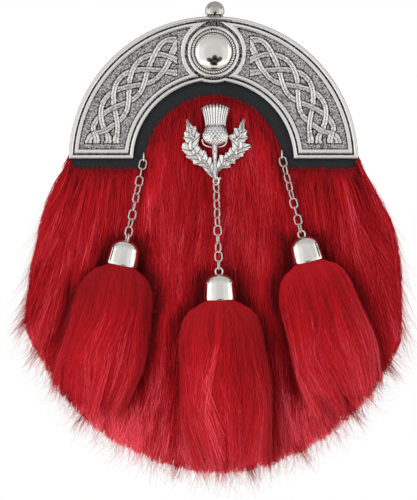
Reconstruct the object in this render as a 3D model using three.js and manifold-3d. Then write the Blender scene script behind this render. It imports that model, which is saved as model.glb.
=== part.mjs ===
// A dress sporran: a leather pouch with a long-haired fur front, a cast metal cantle,
// a thistle badge, and three hair tassels that hang on chains.
// Millimetres. Every piece is drawn in a front view, with x to the right, y up and z out of
// the front. The last group turns that view so that +Z is up and the front faces -Y.
// The origin is on the back panel's outer face, midway between the two strap loops.
import * as THREE from "three";
import { mergeVertices } from "three/addons/utils/BufferGeometryUtils.js";
import Module from "manifold-3d";

const wasm = await Module();
wasm.setup();

// Driving dimensions

const GAP = 0.3; // clearance between pieces that touch
const CURVE_SEGMENTS = 10; // steps along each arc of a drawn shape
const LEATHER = 2; // thickness of the two panels
const ARCH_Y = -24.2; // height of the centre that the cantle's arcs share

const POUCH = { radius: 75, mouthY: 23.5, loopPoints: 48 };
const POUCH_SIDES = [
  { y: -50, halfWidth: 80 },
  { y: -80, halfWidth: 85.5 },
  { y: -108, halfWidth: 85 },
  { y: -136, halfWidth: 73 },
  { y: -158, halfWidth: 47 },
];
const POUCH_BOTTOM_Y = -170;

const GUSSET = { depth: 26, thickness: 1.6, inset: 1 };
const BELLY = { y: -102, halfWidth: 82, halfHeight: 66, rise: 7 };
const STRAP_LOOP = { x: 42, width: 16, height: 42, foot: 7, standOff: 6, thickness: 2 };

const CANTLE = { outer: 76, inner: 42, footY: -23, plate: 1.8, rise: 0.9 };
const BORDER = { rim: 1.8, groove: 0.7, frame: 2.5 };
const MEDALLION = { y: 33.2, bump: 16.8, moat: 15, ringOuter: 13.7, ringInner: 11.2, ringRise: 1.1 };
const NOTCH = { halfWidth: 4.6, footHalfWidth: 2.4 }; // break in the frames above the medallion
const BOSS = { radius: 9.6, edge: 0.6, rise: 3.4, sides: 20, rows: 4 };
const KNOT = { strands: 4, radius: 59.1, spread: 6.5, period: 52, first: 2.5, start: 9, end: 70 }; // degrees
const RIBBON = { width: 2.4, weave: 0.3, steps: 14 };
const KNOB = { ball: 5, ballY: 55.4, collar: 4.5, collarHeight: 1.5, sides: 16, rows: 7 };

const FUR_EDGE = { border: 7.2, footDrop: 4.9, footHalfWidth: 73, points: 18 };
const FUR_SIDES = [
  { y: -34, halfWidth: 81 },
  { y: -48, halfWidth: 86 },
  { y: -72, halfWidth: 91.5 },
  { y: -102, halfWidth: 94 },
  { y: -122, halfWidth: 91 },
  { y: -146, halfWidth: 78 },
  { y: -168, halfWidth: 53 },
];
const FUR_BOTTOM_Y = -184;
const FUR_DEPTH = { clear: 0.9, edge: 4, full: 8, riseShare: 0.45 };
const FUR_SHARES = [0.3, 0.56, 0.84, 1]; // rings of the coat between its centre and its edge
const FRINGE = { locks: 23, tip: 6, notch: 0.5, ridge: 0.8, ridgeShare: 0.8 };
const FUR_CENTRE = new THREE.Vector2(0, -95);
const PANEL_SHARES = [0.3, 0.56, 0.8, 1]; // rings of the front panel between its centre and its edge

const WIRE = 0.9; // diameter of the chains' wire
const LINK = { width: 4.4, inside: 4.45, sides: 10, wireSides: 5, bite: 0.22 };
const STAPLE = { radius: 3, steps: 6, linkTurn: 30 };
const CAP = { radius: 7.3, top: 6.7, side: 8.5, dome: 4.4, eye: 1.9, sides: 14, rows: 3 };

const BADGE = { x: 1, y: -14.7, leaf: 1.8, post: 1.5, postSides: 8 };
const BAIL = { radius: 2, x: 0.4, y: -20.2, turn: 135 };
const BULB = { y: 3.8, halfWidth: 6.5, halfHeight: 5.6, depth: 4.2, sides: 12, rows: 8 };
const CROWN = { bottomY: 8.6, topY: 19.8, bottomRadius: 5.7, topRadius: 7.4, depthShare: 0.55, sides: 14 };
const STEM_SIDES = 6;
const STEM = [
  { y: 3.8, halfWidth: 1.6, halfDepth: 1.6 },
  { y: -10, halfWidth: 1.45, halfDepth: 1.3 },
  { y: -18.4, halfWidth: 1.3, halfDepth: 1 },
];
// Outlines of the badge's two toothed leaves as x, y from the badge's own origin
const LEAF_LEFT = [
  [-0.4, -18.9], [-1.8, -18.5], [-4.5, -16], [-6.7, -13.1], [-9.3, -11.8], [-11.6, -11.6],
  [-11.9, -9.7], [-15.7, -7.8], [-15.3, -6.4], [-17.2, -4.4], [-17.9, -2.4], [-17.3, -0.5],
  [-15.4, 0.4], [-17, 2.4], [-16.2, 3.3], [-16.6, 5.1], [-15.3, 6.9], [-15.3, 12.8],
  [-11.9, 8.7], [-9.9, 8.7], [-9.4, 5.8], [-7.6, 4.5], [-8.1, 2.4], [-8.5, 0.4], [-8.9, -1.7],
  [-7.6, -2.3], [-6.7, -4.1], [-5.1, -3.7], [-3.9, -7.3], [-2.1, -7.5], [-1.8, -9.1], [-0.9, -12.9],
];
const LEAF_RIGHT = [
  [-0.9, -14.7], [-1.8, -18.3], [0.4, -19.7], [2.7, -19.5], [3.2, -18.2], [2, -17.2],
  [1.5, -15.3], [3.4, -13.8], [5.6, -13.5], [7.8, -13.2], [8.1, -12.1], [7.5, -11.3],
  [10.4, -11], [10.8, -9.8], [10.4, -9.1], [14.8, -7.3], [14.6, -6], [18.3, -2.7], [18.5, -1.1],
  [15.4, -1.8], [14.8, -0.4], [17.2, 2.8], [16.2, 3.9], [16.8, 6.4], [15.2, 7.1], [15.5, 13.1],
  [13.1, 10.6], [11.9, 7.7], [9.4, 7.7], [9.3, 4.6], [6.1, 4], [7, 2.4], [8.3, 0.4], [8.6, -2.3],
  [7.3, -2.5], [6.4, -4.9], [5.2, -4.9], [4.3, -7.7], [3.3, -6.2], [2.1, -6.2], [1.5, -8.8], [0.2, -12.9],
];

// Each drop hangs from its anchor: the chain leans to the side and rakes out over the fur,
// and the tassel below it hangs closer to plumb. A link's turn is about the chain's own line.
const DROPS = [
  { side: "left", x: -36.6, y: -23.4, lean: -11.5, rake: 15, hang: 3, size: 1,
    turns: [0, 90, 10, -50, 40, 100, 10, -60, 20] },
  { side: "centre", x: 1.4, y: -35.6, lean: 1.8, rake: 15, hang: 2, size: 1.08,
    turns: [45, -45, 45, -45, 55, 0, 75, -45, 10, 80] },
  { side: "right", x: 35.9, y: -22, lean: 14, rake: 15, hang: 3, size: 1,
    turns: [10, -60, 45, -45, 60, -5, 85, -10, 70] },
];

// Half-widths of a tassel's hair at lengths below its cap
const TASSEL = [
  { along: 0.6, halfWidth: 6.4, halfDepth: 6 },
  { along: 4, halfWidth: 15, halfDepth: 9 },
  { along: 10, halfWidth: 19.2, halfDepth: 10.6 },
  { along: 20, halfWidth: 21.3, halfDepth: 11.3 },
  { along: 44, halfWidth: 22.2, halfDepth: 11 },
  { along: 66, halfWidth: 21.4, halfDepth: 8.5 },
];
const TASSEL_LOCKS = { count: 9, valley: 0.88, tipAlong: 88, valleyAlong: 76, tipShare: 0.72 };
const TASSEL_END = { along: 80, share: 0.3 }; // the flat middle between the tips
const HANGING_SIDES = 14; // of the plain outline round a cap and its tassel
const CHANNEL_SIDES = 10; // of the room that a chain has in the fur

const PANEL_BACK_Z = LEATHER + GAP + GUSSET.depth + GAP;
const PANEL_FRONT_Z = PANEL_BACK_Z + LEATHER;
const CANTLE_Z = PANEL_FRONT_Z + GAP;
const BADGE_Z = PANEL_FRONT_Z + FUR_DEPTH.clear + FUR_DEPTH.full + GAP;
const WIRE_RADIUS = WIRE / 2;

// Materials

const finish = (color, roughness, metalness) =>
  new THREE.MeshStandardMaterial({ color, roughness, metalness });
const PEWTER = finish(0xa8a8a4, 0.4, 1);
const NICKEL = finish(0xd8d6d0, 0.12, 1);
const LEATHER_BLACK = finish(0x1e1f21, 0.55, 0);
const FUR_RED = finish(0xa41a22, 0.75, 0);

// Solid helpers

const radians = THREE.MathUtils.degToRad;
const lerp = THREE.MathUtils.lerp;

// A geometry as a solid: vertices are merged, and its faces are turned out if they point in.
function solidFrom(geometry) {
  const bare = new THREE.BufferGeometry();
  bare.setAttribute("position", geometry.getAttribute("position"));
  bare.setIndex(geometry.getIndex());
  const merged = mergeVertices(bare, 1e-4);
  const triangles = [];
  const corners = merged.index.array;
  for (let i = 0; i < corners.length; i += 3) {
    const [a, b, c] = corners.slice(i, i + 3);
    if (a !== b && b !== c && c !== a) triangles.push(a, b, c);
  }
  const vertProperties = merged.attributes.position.array;
  const made = (triVerts) => new wasm.Manifold(new wasm.Mesh({ numProp: 3, vertProperties, triVerts }));
  const solid = made(new Uint32Array(triangles));
  return solid.volume() > 0 ? solid : made(new Uint32Array(triangles.reverse()));
}

const union = (solids) => solids.reduce((whole, next) => whole.add(next));

function geometryOf(solid) {
  const { vertProperties, triVerts } = solid.getMesh();
  const geometry = new THREE.BufferGeometry();
  geometry.setAttribute("position", new THREE.BufferAttribute(vertProperties, 3));
  geometry.setIndex(new THREE.BufferAttribute(triVerts, 1));
  geometry.computeVertexNormals();
  return geometry;
}

function node(name, solid, material) {
  const mesh = new THREE.Mesh(geometryOf(solid), material);
  mesh.name = name;
  return mesh;
}

// A closed solid through rings of points with equal counts. Fans close the two ends.
function loft(rings) {
  const sides = rings[0].length;
  const index = [];
  for (let r = 0; r + 1 < rings.length; r++) {
    for (let s = 0; s < sides; s++) {
      const a = r * sides + s;
      const b = r * sides + ((s + 1) % sides);
      index.push(a, b, b + sides, a, b + sides, a + sides);
    }
  }
  const last = (rings.length - 1) * sides;
  for (let s = 1; s + 1 < sides; s++) {
    index.push(0, s + 1, s, last, last + s, last + s + 1);
  }
  const geometry = new THREE.BufferGeometry().setFromPoints(rings.flat());
  geometry.setIndex(index);
  return solidFrom(geometry);
}

// A ring of points round a centre, in the plane of two directions.
function ringOf(sides, centre, across, halfAcross, over, halfOver) {
  return Array.from({ length: sides }, (_, s) => {
    const turn = (2 * Math.PI * s) / sides;
    return centre
      .clone()
      .addScaledVector(across, halfAcross * Math.cos(turn))
      .addScaledVector(over, halfOver * Math.sin(turn));
  });
}

// A closed sheet inside a loop: rings shrink from the loop to a centre point, and two
// functions of x, y, the ring's share of the way out and the corner give its front and back.
function sheet(loop, centre, shares, front, back) {
  const points = [];
  const index = [];
  const count = loop.length;
  const face = 1 + shares.length * count;
  for (const height of [front, back]) {
    points.push(new THREE.Vector3(centre.x, centre.y, height(centre.x, centre.y, 0)));
    for (const share of shares) {
      loop.forEach((corner, i) => {
        const at = centre.clone().lerp(corner, share);
        points.push(new THREE.Vector3(at.x, at.y, height(at.x, at.y, share, i)));
      });
    }
  }
  const quad = (a, b, c, d) => index.push(a, b, c, a, c, d);
  for (let i = 0; i < count; i++) {
    const next = (i + 1) % count;
    index.push(0, 1 + i, 1 + next, face, face + 1 + next, face + 1 + i);
    for (let r = 0; r + 1 < shares.length; r++) {
      const inner = 1 + r * count;
      const outer = inner + count;
      quad(inner + i, outer + i, outer + next, inner + next);
      quad(face + inner + i, face + inner + next, face + outer + next, face + outer + i);
    }
    const rim = 1 + (shares.length - 1) * count;
    quad(rim + i, face + rim + i, face + rim + next, rim + next);
  }
  const geometry = new THREE.BufferGeometry().setFromPoints(points);
  geometry.setIndex(index);
  return solidFrom(geometry);
}

function extruded(shape, depth, z) {
  const settings = { depth, curveSegments: CURVE_SEGMENTS, bevelEnabled: false };
  const geometry = new THREE.ExtrudeGeometry(shape, settings);
  return solidFrom(geometry.translate(0, 0, z));
}

function turned(profile, sides) {
  const points = profile.map(([radius, height]) => new THREE.Vector2(radius, height));
  return solidFrom(new THREE.LatheGeometry(points, sides));
}

// The pouch

// Points of a smooth outline: mirrored rows of half-widths below a start, closed by a bottom.
function sidesPath(path, rows, bottomY, endX, endY) {
  const left = rows.map(({ y, halfWidth }) => new THREE.Vector2(-halfWidth, y));
  const right = [...rows].reverse().map(({ y, halfWidth }) => new THREE.Vector2(halfWidth, y));
  path.splineThru([...left, new THREE.Vector2(0, bottomY), ...right, new THREE.Vector2(endX, endY)]);
  return path;
}

function pouchLoop() {
  const path = new THREE.Path();
  path.absarc(0, ARCH_Y, POUCH.radius, 0, Math.PI, false);
  sidesPath(path, POUCH_SIDES, POUCH_BOTTOM_Y, POUCH.radius, ARCH_Y);
  return path.getSpacedPoints(POUCH.loopPoints).slice(0, -1);
}

// The part of a loop below the mouth, from its left end round the bottom to its right end.
function belowMouth(loop) {
  const mouthHalf = Math.sqrt(POUCH.radius ** 2 - (POUCH.mouthY - ARCH_Y) ** 2);
  const firstAbove = loop.findIndex((p) => p.y > POUCH.mouthY);
  const rising = loop.slice(0, firstAbove);
  const falling = loop.slice(firstAbove).filter((p) => p.y < POUCH.mouthY);
  const corner = (side) => new THREE.Vector2(side * mouthHalf, POUCH.mouthY);
  return [corner(-1), ...falling, ...rising, corner(1)];
}

// An open run of points moved to its left-hand side.
function inset(run, distance) {
  return run.map((point, i) => {
    const before = run[Math.max(i - 1, 0)];
    const after = run[Math.min(i + 1, run.length - 1)];
    const along = after.clone().sub(before).normalize();
    return new THREE.Vector2(point.x - along.y * distance, point.y + along.x * distance);
  });
}

const belly = (x, y) => {
  const reach = (x / BELLY.halfWidth) ** 2 + ((y - BELLY.y) / BELLY.halfHeight) ** 2;
  return reach < 1 ? BELLY.rise * (1 - reach) ** 2 : 0;
};

function backPanel() {
  return extruded(new THREE.Shape(belowMouth(pouchLoop())), LEATHER, 0);
}

function gusset() {
  const run = belowMouth(pouchLoop());
  const outer = inset(run, GUSSET.inset);
  const inner = inset(run, GUSSET.inset + GUSSET.thickness).reverse();
  return extruded(new THREE.Shape([...outer, ...inner]), GUSSET.depth, LEATHER + GAP);
}

function frontPanel() {
  const front = (x, y) => PANEL_FRONT_Z + belly(x, y);
  const back = (x, y) => PANEL_BACK_Z + belly(x, y);
  return sheet(pouchLoop(), FUR_CENTRE, PANEL_SHARES, front, back);
}

// A leather bridge on the back: two feet on the panel and a raised span that a strap goes under.
function strapLoop() {
  const half = STRAP_LOOP.height / 2;
  const inner = half - STRAP_LOOP.foot;
  const outerZ = -STRAP_LOOP.standOff - STRAP_LOOP.thickness;
  const side = new THREE.Shape([
    new THREE.Vector2(-half, 0),
    new THREE.Vector2(-half, -STRAP_LOOP.thickness),
    new THREE.Vector2(-inner, -STRAP_LOOP.thickness),
    new THREE.Vector2(-inner + STRAP_LOOP.thickness, outerZ),
    new THREE.Vector2(inner - STRAP_LOOP.thickness, outerZ),
    new THREE.Vector2(inner, -STRAP_LOOP.thickness),
    new THREE.Vector2(half, -STRAP_LOOP.thickness),
    new THREE.Vector2(half, 0),
    new THREE.Vector2(inner - STRAP_LOOP.thickness, 0),
    new THREE.Vector2(inner - 2 * STRAP_LOOP.thickness, -STRAP_LOOP.standOff),
    new THREE.Vector2(-inner + 2 * STRAP_LOOP.thickness, -STRAP_LOOP.standOff),
    new THREE.Vector2(-inner + STRAP_LOOP.thickness, 0),
  ]);
  const geometry = new THREE.ExtrudeGeometry(side, { depth: STRAP_LOOP.width, bevelEnabled: false });
  // The drawn side view has y to the right and z up, so its axes are cycled into place.
  geometry.rotateX(Math.PI / 2).rotateZ(Math.PI / 2);
  return solidFrom(geometry.translate(-STRAP_LOOP.width / 2, 0, 0));
}

// The cantle

const footAngle = (radius, y) => Math.asin((y - ARCH_Y) / radius);

// The arched band, drawn in from its edges by a margin.
function bandShape(margin) {
  const outer = CANTLE.outer - margin;
  const inner = CANTLE.inner + margin;
  const footY = CANTLE.footY + margin;
  const shape = new THREE.Shape();
  shape.absarc(0, ARCH_Y, outer, footAngle(outer, footY), Math.PI - footAngle(outer, footY), false);
  shape.absarc(0, ARCH_Y, inner, Math.PI - footAngle(inner, footY), footAngle(inner, footY), true);
  return shape;
}

function withHole(shape, hole) {
  shape.holes.push(hole);
  return shape;
}

function disc(radius) {
  const shape = new THREE.Shape();
  shape.absarc(0, MEDALLION.y, radius, 0, 2 * Math.PI, false);
  return shape;
}

// Strands plait along each panel. Each swings between the panel's edges a quarter of a period
// behind the one before it, and rises and dips three times in each period.
function knotStrand(side, strand, faceZ) {
  const ridge = (share) => {
    const degrees = lerp(KNOT.start, KNOT.end, share);
    const swing = 2 * Math.PI * ((degrees - KNOT.first) / KNOT.period - strand / KNOT.strands);
    const radius = KNOT.radius + KNOT.spread * Math.cos(swing);
    const x = side * radius * Math.cos(radians(degrees));
    const y = ARCH_Y + radius * Math.sin(radians(degrees));
    return new THREE.Vector3(x, y, faceZ + CANTLE.rise - RIBBON.weave * Math.sin(3 * swing));
  };
  const nearby = 0.1 / RIBBON.steps;
  const rings = [];
  for (let step = 0; step <= RIBBON.steps; step++) {
    const share = step / RIBBON.steps;
    const top = ridge(share);
    const along = ridge(share + nearby).sub(ridge(share - nearby));
    const across = new THREE.Vector3(-along.y, along.x, 0).setLength(RIBBON.width / 2);
    const foot = top.clone().setZ(faceZ - CANTLE.plate / 2);
    rings.push([foot.clone().add(across), top, foot.clone().sub(across)]);
  }
  return loft(rings);
}

function cantle() {
  const faceZ = CANTLE_Z + CANTLE.plate;
  const sunk = CANTLE.plate / 2;
  const raised = (shape, rise) => extruded(shape, rise + sunk, faceZ - sunk);
  const cutter = (shape) => extruded(shape, 3 * CANTLE.plate, CANTLE_Z);
  const edge = BORDER.rim + BORDER.groove;
  const notch = new THREE.Shape([
    new THREE.Vector2(-NOTCH.footHalfWidth, MEDALLION.y + MEDALLION.ringOuter),
    new THREE.Vector2(NOTCH.footHalfWidth, MEDALLION.y + MEDALLION.ringOuter),
    new THREE.Vector2(NOTCH.halfWidth, ARCH_Y + CANTLE.outer),
    new THREE.Vector2(-NOTCH.halfWidth, ARCH_Y + CANTLE.outer),
  ]);
  // Each panel's frame follows the band's edges and turns in along a moat round the medallion.
  const frames = raised(withHole(bandShape(edge), bandShape(edge + BORDER.frame)), CANTLE.rise)
    .subtract(cutter(disc(MEDALLION.moat)))
    .add(raised(withHole(disc(MEDALLION.moat + BORDER.frame), disc(MEDALLION.moat)), CANTLE.rise)
      .intersect(cutter(bandShape(edge))))
    .subtract(cutter(notch));
  const pieces = [
    extruded(bandShape(0), CANTLE.plate, CANTLE_Z),
    extruded(disc(MEDALLION.bump), CANTLE.plate, CANTLE_Z),
    raised(withHole(bandShape(0), bandShape(BORDER.rim)), CANTLE.rise),
    raised(withHole(disc(MEDALLION.ringOuter), disc(MEDALLION.ringInner)), MEDALLION.ringRise),
    frames,
  ];
  for (const side of [-1, 1]) {
    for (let strand = 0; strand < KNOT.strands; strand++) pieces.push(knotStrand(side, strand, faceZ));
  }
  return union(pieces);
}

// A polished dome in the medallion's ring.
function boss() {
  const profile = [[0, 0], [BOSS.radius, 0]];
  for (let row = 0; row <= BOSS.rows; row++) {
    const turn = (row / BOSS.rows) * (Math.PI / 2);
    profile.push([BOSS.radius * Math.cos(turn), BOSS.edge + BOSS.rise * Math.sin(turn)]);
  }
  return turned(profile, BOSS.sides);
}

// The ball on its collar, which stands on the cantle's top edge.
function knob() {
  const collarTop = CANTLE.outer + ARCH_Y + GAP + KNOB.collarHeight;
  const start = Math.asin((collarTop - KNOB.ballY) / KNOB.ball);
  const profile = [
    [0, collarTop - KNOB.collarHeight],
    [KNOB.collar, collarTop - KNOB.collarHeight],
    [KNOB.collar, collarTop],
  ];
  for (let row = 0; row <= KNOB.rows; row++) {
    const turn = lerp(start, Math.PI / 2, row / KNOB.rows);
    profile.push([KNOB.ball * Math.cos(turn), KNOB.ballY + KNOB.ball * Math.sin(turn)]);
  }
  return turned(profile, KNOB.sides);
}

// The drops: chain, cap and tassel, drawn hanging straight down from their own origin

function linkGeometry() {
  const bend = (LINK.width - WIRE) / 2;
  const stretch = (LINK.inside + WIRE) / 2 - bend;
  const geometry = new THREE.TorusGeometry(bend, WIRE_RADIUS, LINK.wireSides, LINK.sides);
  geometry.rotateZ(Math.PI / LINK.sides);
  const position = geometry.getAttribute("position");
  for (let i = 0; i < position.count; i++) {
    position.setY(i, position.getY(i) + Math.sign(position.getY(i)) * stretch);
  }
  return geometry;
}

const LINK_REACH = (LINK.inside + WIRE) / 2; // from a link's middle to the middle of its end wire
const PITCH = LINK.inside + LINK.bite;
const chainLength = (links) => 2 * LINK_REACH + (links - 1) * PITCH;

// Links bite a little into each other where they meet, so the chain is one body.
function chain(drop) {
  const links = drop.turns.map((turn, i) => {
    const geometry = linkGeometry().rotateY(radians(turn));
    return solidFrom(geometry.translate(0, -LINK_REACH - i * PITCH, 0));
  });
  return union(links);
}

// The eye's top wire rests on the chain's last wire, and its lower wire is sunk in the cap's crown.
const EYE_Y = WIRE + GAP - CAP.eye;
const CAP_CROWN_Y = EYE_Y - CAP.eye + GAP;
const CAP_BOTTOM_Y = CAP_CROWN_Y - CAP.dome - CAP.side;

// A bell-shaped cap with a wire eye on top. Its origin is where the chain's last wire sits.
function cap(drop) {
  const sideY = CAP_CROWN_Y - CAP.dome;
  const profile = [[0, CAP_BOTTOM_Y], [CAP.radius, CAP_BOTTOM_Y]];
  for (let row = 0; row <= CAP.rows; row++) {
    const turn = (row / CAP.rows) * (Math.PI / 2);
    profile.push([CAP.top * Math.cos(turn), sideY + CAP.dome * Math.sin(turn)]);
  }
  const eye = new THREE.TorusGeometry(CAP.eye, WIRE_RADIUS, LINK.wireSides, LINK.sides);
  eye.rotateY(radians(drop.turns[drop.turns.length - 1] + 90));
  eye.translate(0, EYE_Y, 0);
  return turned(profile, CAP.sides).add(solidFrom(eye));
}

const RIGHT = new THREE.Vector3(1, 0, 0);
const OUT = new THREE.Vector3(0, 0, 1);

// A cap and its tassel as one plain body, drawn a margin larger than both.
function hangingOutline(size, grow) {
  const ring = (y, halfWidth, halfDepth) =>
    ringOf(HANGING_SIDES, new THREE.Vector3(0, y, 0), RIGHT, halfWidth + grow, OUT, halfDepth + grow);
  const hairRing = (along, row) => ring(CAP_BOTTOM_Y - along, row.halfWidth * size, row.halfDepth * size);
  const last = TASSEL[TASSEL.length - 1];
  return loft([
    ring(GAP, CAP.radius, CAP.radius),
    ring(CAP_BOTTOM_Y, CAP.radius, CAP.radius),
    ...TASSEL.slice(1).map((row) => hairRing(row.along, row)),
    hairRing(TASSEL_LOCKS.tipAlong + grow, last),
  ]);
}

// A tassel's hair: locks side by side round one body. Each lock is a ridge between two
// valleys, and it ends in a tip below them.
function tassel(size) {
  const ring = (row, along, share, valley, valleyAlong) =>
    Array.from({ length: 2 * TASSEL_LOCKS.count }, (_, s) => {
      const turn = (Math.PI * s) / TASSEL_LOCKS.count;
      const reach = size * share * (s % 2 ? valley : 1);
      const y = CAP_BOTTOM_Y - (s % 2 ? valleyAlong : along);
      const x = row.halfWidth * reach * Math.cos(turn);
      return new THREE.Vector3(x, y, row.halfDepth * reach * Math.sin(turn));
    });
  const { valley, tipAlong, valleyAlong, tipShare } = TASSEL_LOCKS;
  const last = TASSEL[TASSEL.length - 1];
  const rings = TASSEL.map((row, i) => ring(row, row.along, 1, i ? valley : 1, row.along));
  rings.push(ring(last, tipAlong, tipShare, 1, valleyAlong));
  rings.push(ring(last, TASSEL_END.along, TASSEL_END.share, 1, TASSEL_END.along));
  return loft(rings);
}

// A drop's place: its chain hangs from the anchor, and its tassel from the chain's end.
function dropGroups(drop) {
  const chainGroup = new THREE.Group();
  chainGroup.position.set(drop.x, drop.y, drop.z);
  chainGroup.rotation.set(-radians(drop.rake), 0, radians(drop.lean), "ZXY");
  const tasselGroup = new THREE.Group();
  tasselGroup.position.y = -chainLength(drop.turns.length);
  tasselGroup.rotation.x = radians(drop.rake - drop.hang);
  chainGroup.add(tasselGroup);
  chainGroup.updateMatrixWorld(true);
  return { chainGroup, tasselGroup };
}

// A half ring of wire that stands on the leather and holds a chain's first link.
function staple() {
  const rings = [];
  for (let step = 0; step <= STAPLE.steps; step++) {
    const turn = lerp(-Math.PI / 2, Math.PI / 2, step / STAPLE.steps);
    const outward = new THREE.Vector3(0, Math.sin(turn), Math.cos(turn));
    const centre = outward.clone().multiplyScalar(STAPLE.radius);
    rings.push(ringOf(LINK.wireSides, centre, outward, WIRE_RADIUS, RIGHT, WIRE_RADIUS));
  }
  return loft(rings);
}

// The thistle badge

// The round post that holds the badge, from the badge's back to the leather.
function badgePost(grow) {
  const length = FUR_DEPTH.clear + FUR_DEPTH.full + BADGE.leaf;
  const radius = BADGE.post + grow;
  const post = new THREE.CylinderGeometry(radius, radius, length + 2 * grow, BADGE.postSides);
  post.rotateX(Math.PI / 2).translate(BADGE.x, BADGE.y + BULB.y, PANEL_FRONT_Z + GAP + length / 2);
  return solidFrom(post);
}

function badge() {
  const bulb = new THREE.SphereGeometry(1, BULB.sides, BULB.rows);
  bulb.scale(BULB.halfWidth, BULB.halfHeight, BULB.depth).translate(0, BULB.y, BADGE.leaf);
  const height = CROWN.topY - CROWN.bottomY;
  const crown = new THREE.CylinderGeometry(CROWN.topRadius, CROWN.bottomRadius, height, CROWN.sides);
  crown.scale(1, 1, CROWN.depthShare).translate(0, CROWN.bottomY + height / 2, BADGE.leaf);
  const stem = STEM.map(({ y, halfWidth, halfDepth }) =>
    ringOf(STEM_SIDES, new THREE.Vector3(0, y, BADGE.leaf), RIGHT, halfWidth, OUT, halfDepth));
  const bail = new THREE.TorusGeometry(BAIL.radius, WIRE_RADIUS, LINK.wireSides, LINK.sides);
  bail.rotateY(radians(BAIL.turn)).translate(BAIL.x, BAIL.y, BADGE.leaf);
  const corners = (outline) => outline.map(([x, y]) => new THREE.Vector2(x, y));
  const leaf = (outline) => extruded(new THREE.Shape(corners(outline)), BADGE.leaf, 0);
  // The head is cut off flat at the badge's back.
  const room = 2 * CROWN.topY;
  const behind = new THREE.BoxGeometry(room, 2 * room, room).translate(0, 0, -room / 2);
  const head = union([solidFrom(bulb), solidFrom(crown), loft(stem)]).subtract(solidFrom(behind));
  const post = badgePost(0).translate(-BADGE.x, -BADGE.y, -BADGE_Z);
  return union([head, solidFrom(bail), leaf(LEAF_LEFT), leaf(LEAF_RIGHT), post]);
}

// The fur

const furBack = (x, y) => PANEL_FRONT_Z + FUR_DEPTH.clear + belly(x, y);

function furDepth(share) {
  const rise = Math.min(1, (1 - share) / FUR_DEPTH.riseShare);
  return lerp(FUR_DEPTH.edge, FUR_DEPTH.full, Math.sqrt(rise * (2 - rise)));
}

// The coat's plain top edge, which follows the leather border from the right foot to the left.
function furTop() {
  const radius = CANTLE.inner - FUR_EDGE.border;
  const footY = CANTLE.footY - FUR_EDGE.footDrop;
  const path = new THREE.Path();
  path.moveTo(FUR_EDGE.footHalfWidth, footY);
  path.lineTo(radius, footY);
  path.absarc(0, ARCH_Y, radius, 0, Math.PI, false);
  path.lineTo(-radius, footY);
  path.lineTo(-FUR_EDGE.footHalfWidth, footY);
  return path.getSpacedPoints(FUR_EDGE.points);
}

// The coat's fringe: the outer edge in locks. Tips alternate with notches, and lean down.
function furFringe() {
  const footY = CANTLE.footY - FUR_EDGE.footDrop;
  const path = new THREE.Path();
  path.moveTo(-FUR_EDGE.footHalfWidth, footY);
  sidesPath(path, FUR_SIDES, FUR_BOTTOM_Y, FUR_EDGE.footHalfWidth, footY);
  const edge = path.getSpacedPoints(2 * FRINGE.locks).slice(1, -1);
  return edge.map((at, i) => {
    const outward = at.clone().sub(FUR_CENTRE).normalize();
    const isTip = i % 2 === 0;
    const flow = outward.clone().add(new THREE.Vector2(0, -1)).normalize();
    const move = isTip ? flow.multiplyScalar(FRINGE.tip) : outward.multiplyScalar(-FRINGE.notch);
    return { at: at.add(move), isTip };
  });
}

function fur(hollows) {
  const fringe = furFringe();
  const loop = [...furTop(), ...fringe.map(({ at }) => at)];
  const ridges = loop.map((corner) => fringe.find(({ at }) => at === corner));
  const front = (x, y, share, corner) => {
    const lock = ridges[corner];
    const inLocks = lock && share >= FRINGE.ridgeShare && share < 1;
    const swell = inLocks ? FRINGE.ridge * (lock.isTip ? 1 : -1) : 0;
    return furBack(x, y) + furDepth(share) + swell;
  };
  const coat = sheet(loop, FUR_CENTRE, FUR_SHARES, front, furBack);
  return hollows.reduce((left, hollow) => left.subtract(hollow), coat);
}

// A drop's room in the fur: a channel for its chain, and the outline of its cap and tassel.
function dropRoom(drop, { chainGroup, tasselGroup }) {
  const clear = LINK.width / 2 + 2 * GAP;
  const length = chainLength(drop.turns.length);
  const channel = new THREE.CylinderGeometry(clear, clear, length + 2 * clear, CHANNEL_SIDES);
  channel.translate(0, clear - length / 2, 0).applyMatrix4(chainGroup.matrixWorld);
  const outline = geometryOf(hangingOutline(drop.size, 3 * GAP)).applyMatrix4(tasselGroup.matrixWorld);
  return [solidFrom(channel), solidFrom(outline)];
}

// Assembly

const sporran = new THREE.Group();
sporran.add(node("back_panel", backPanel(), LEATHER_BLACK));
sporran.add(node("gusset", gusset(), LEATHER_BLACK));
sporran.add(node("front_panel", frontPanel(), LEATHER_BLACK));

for (const [name, side] of [["left", -1], ["right", 1]]) {
  const loop = node(`strap_loop_${name}`, strapLoop(), LEATHER_BLACK);
  loop.position.set(side * STRAP_LOOP.x, 0, -GAP);
  sporran.add(loop);
}

sporran.add(node("cantle", cantle(), PEWTER));

const bossNode = node("cantle_boss", boss(), NICKEL);
bossNode.position.set(0, MEDALLION.y, CANTLE_Z + CANTLE.plate + GAP);
bossNode.rotation.x = Math.PI / 2;
sporran.add(bossNode);

const knobNode = node("knob", knob(), NICKEL);
knobNode.position.z = CANTLE_Z + CANTLE.plate / 2;
sporran.add(knobNode);

const badgeNode = node("thistle_badge", badge(), NICKEL);
badgeNode.position.set(BADGE.x, BADGE.y, BADGE_Z);
sporran.add(badgeNode);

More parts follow.
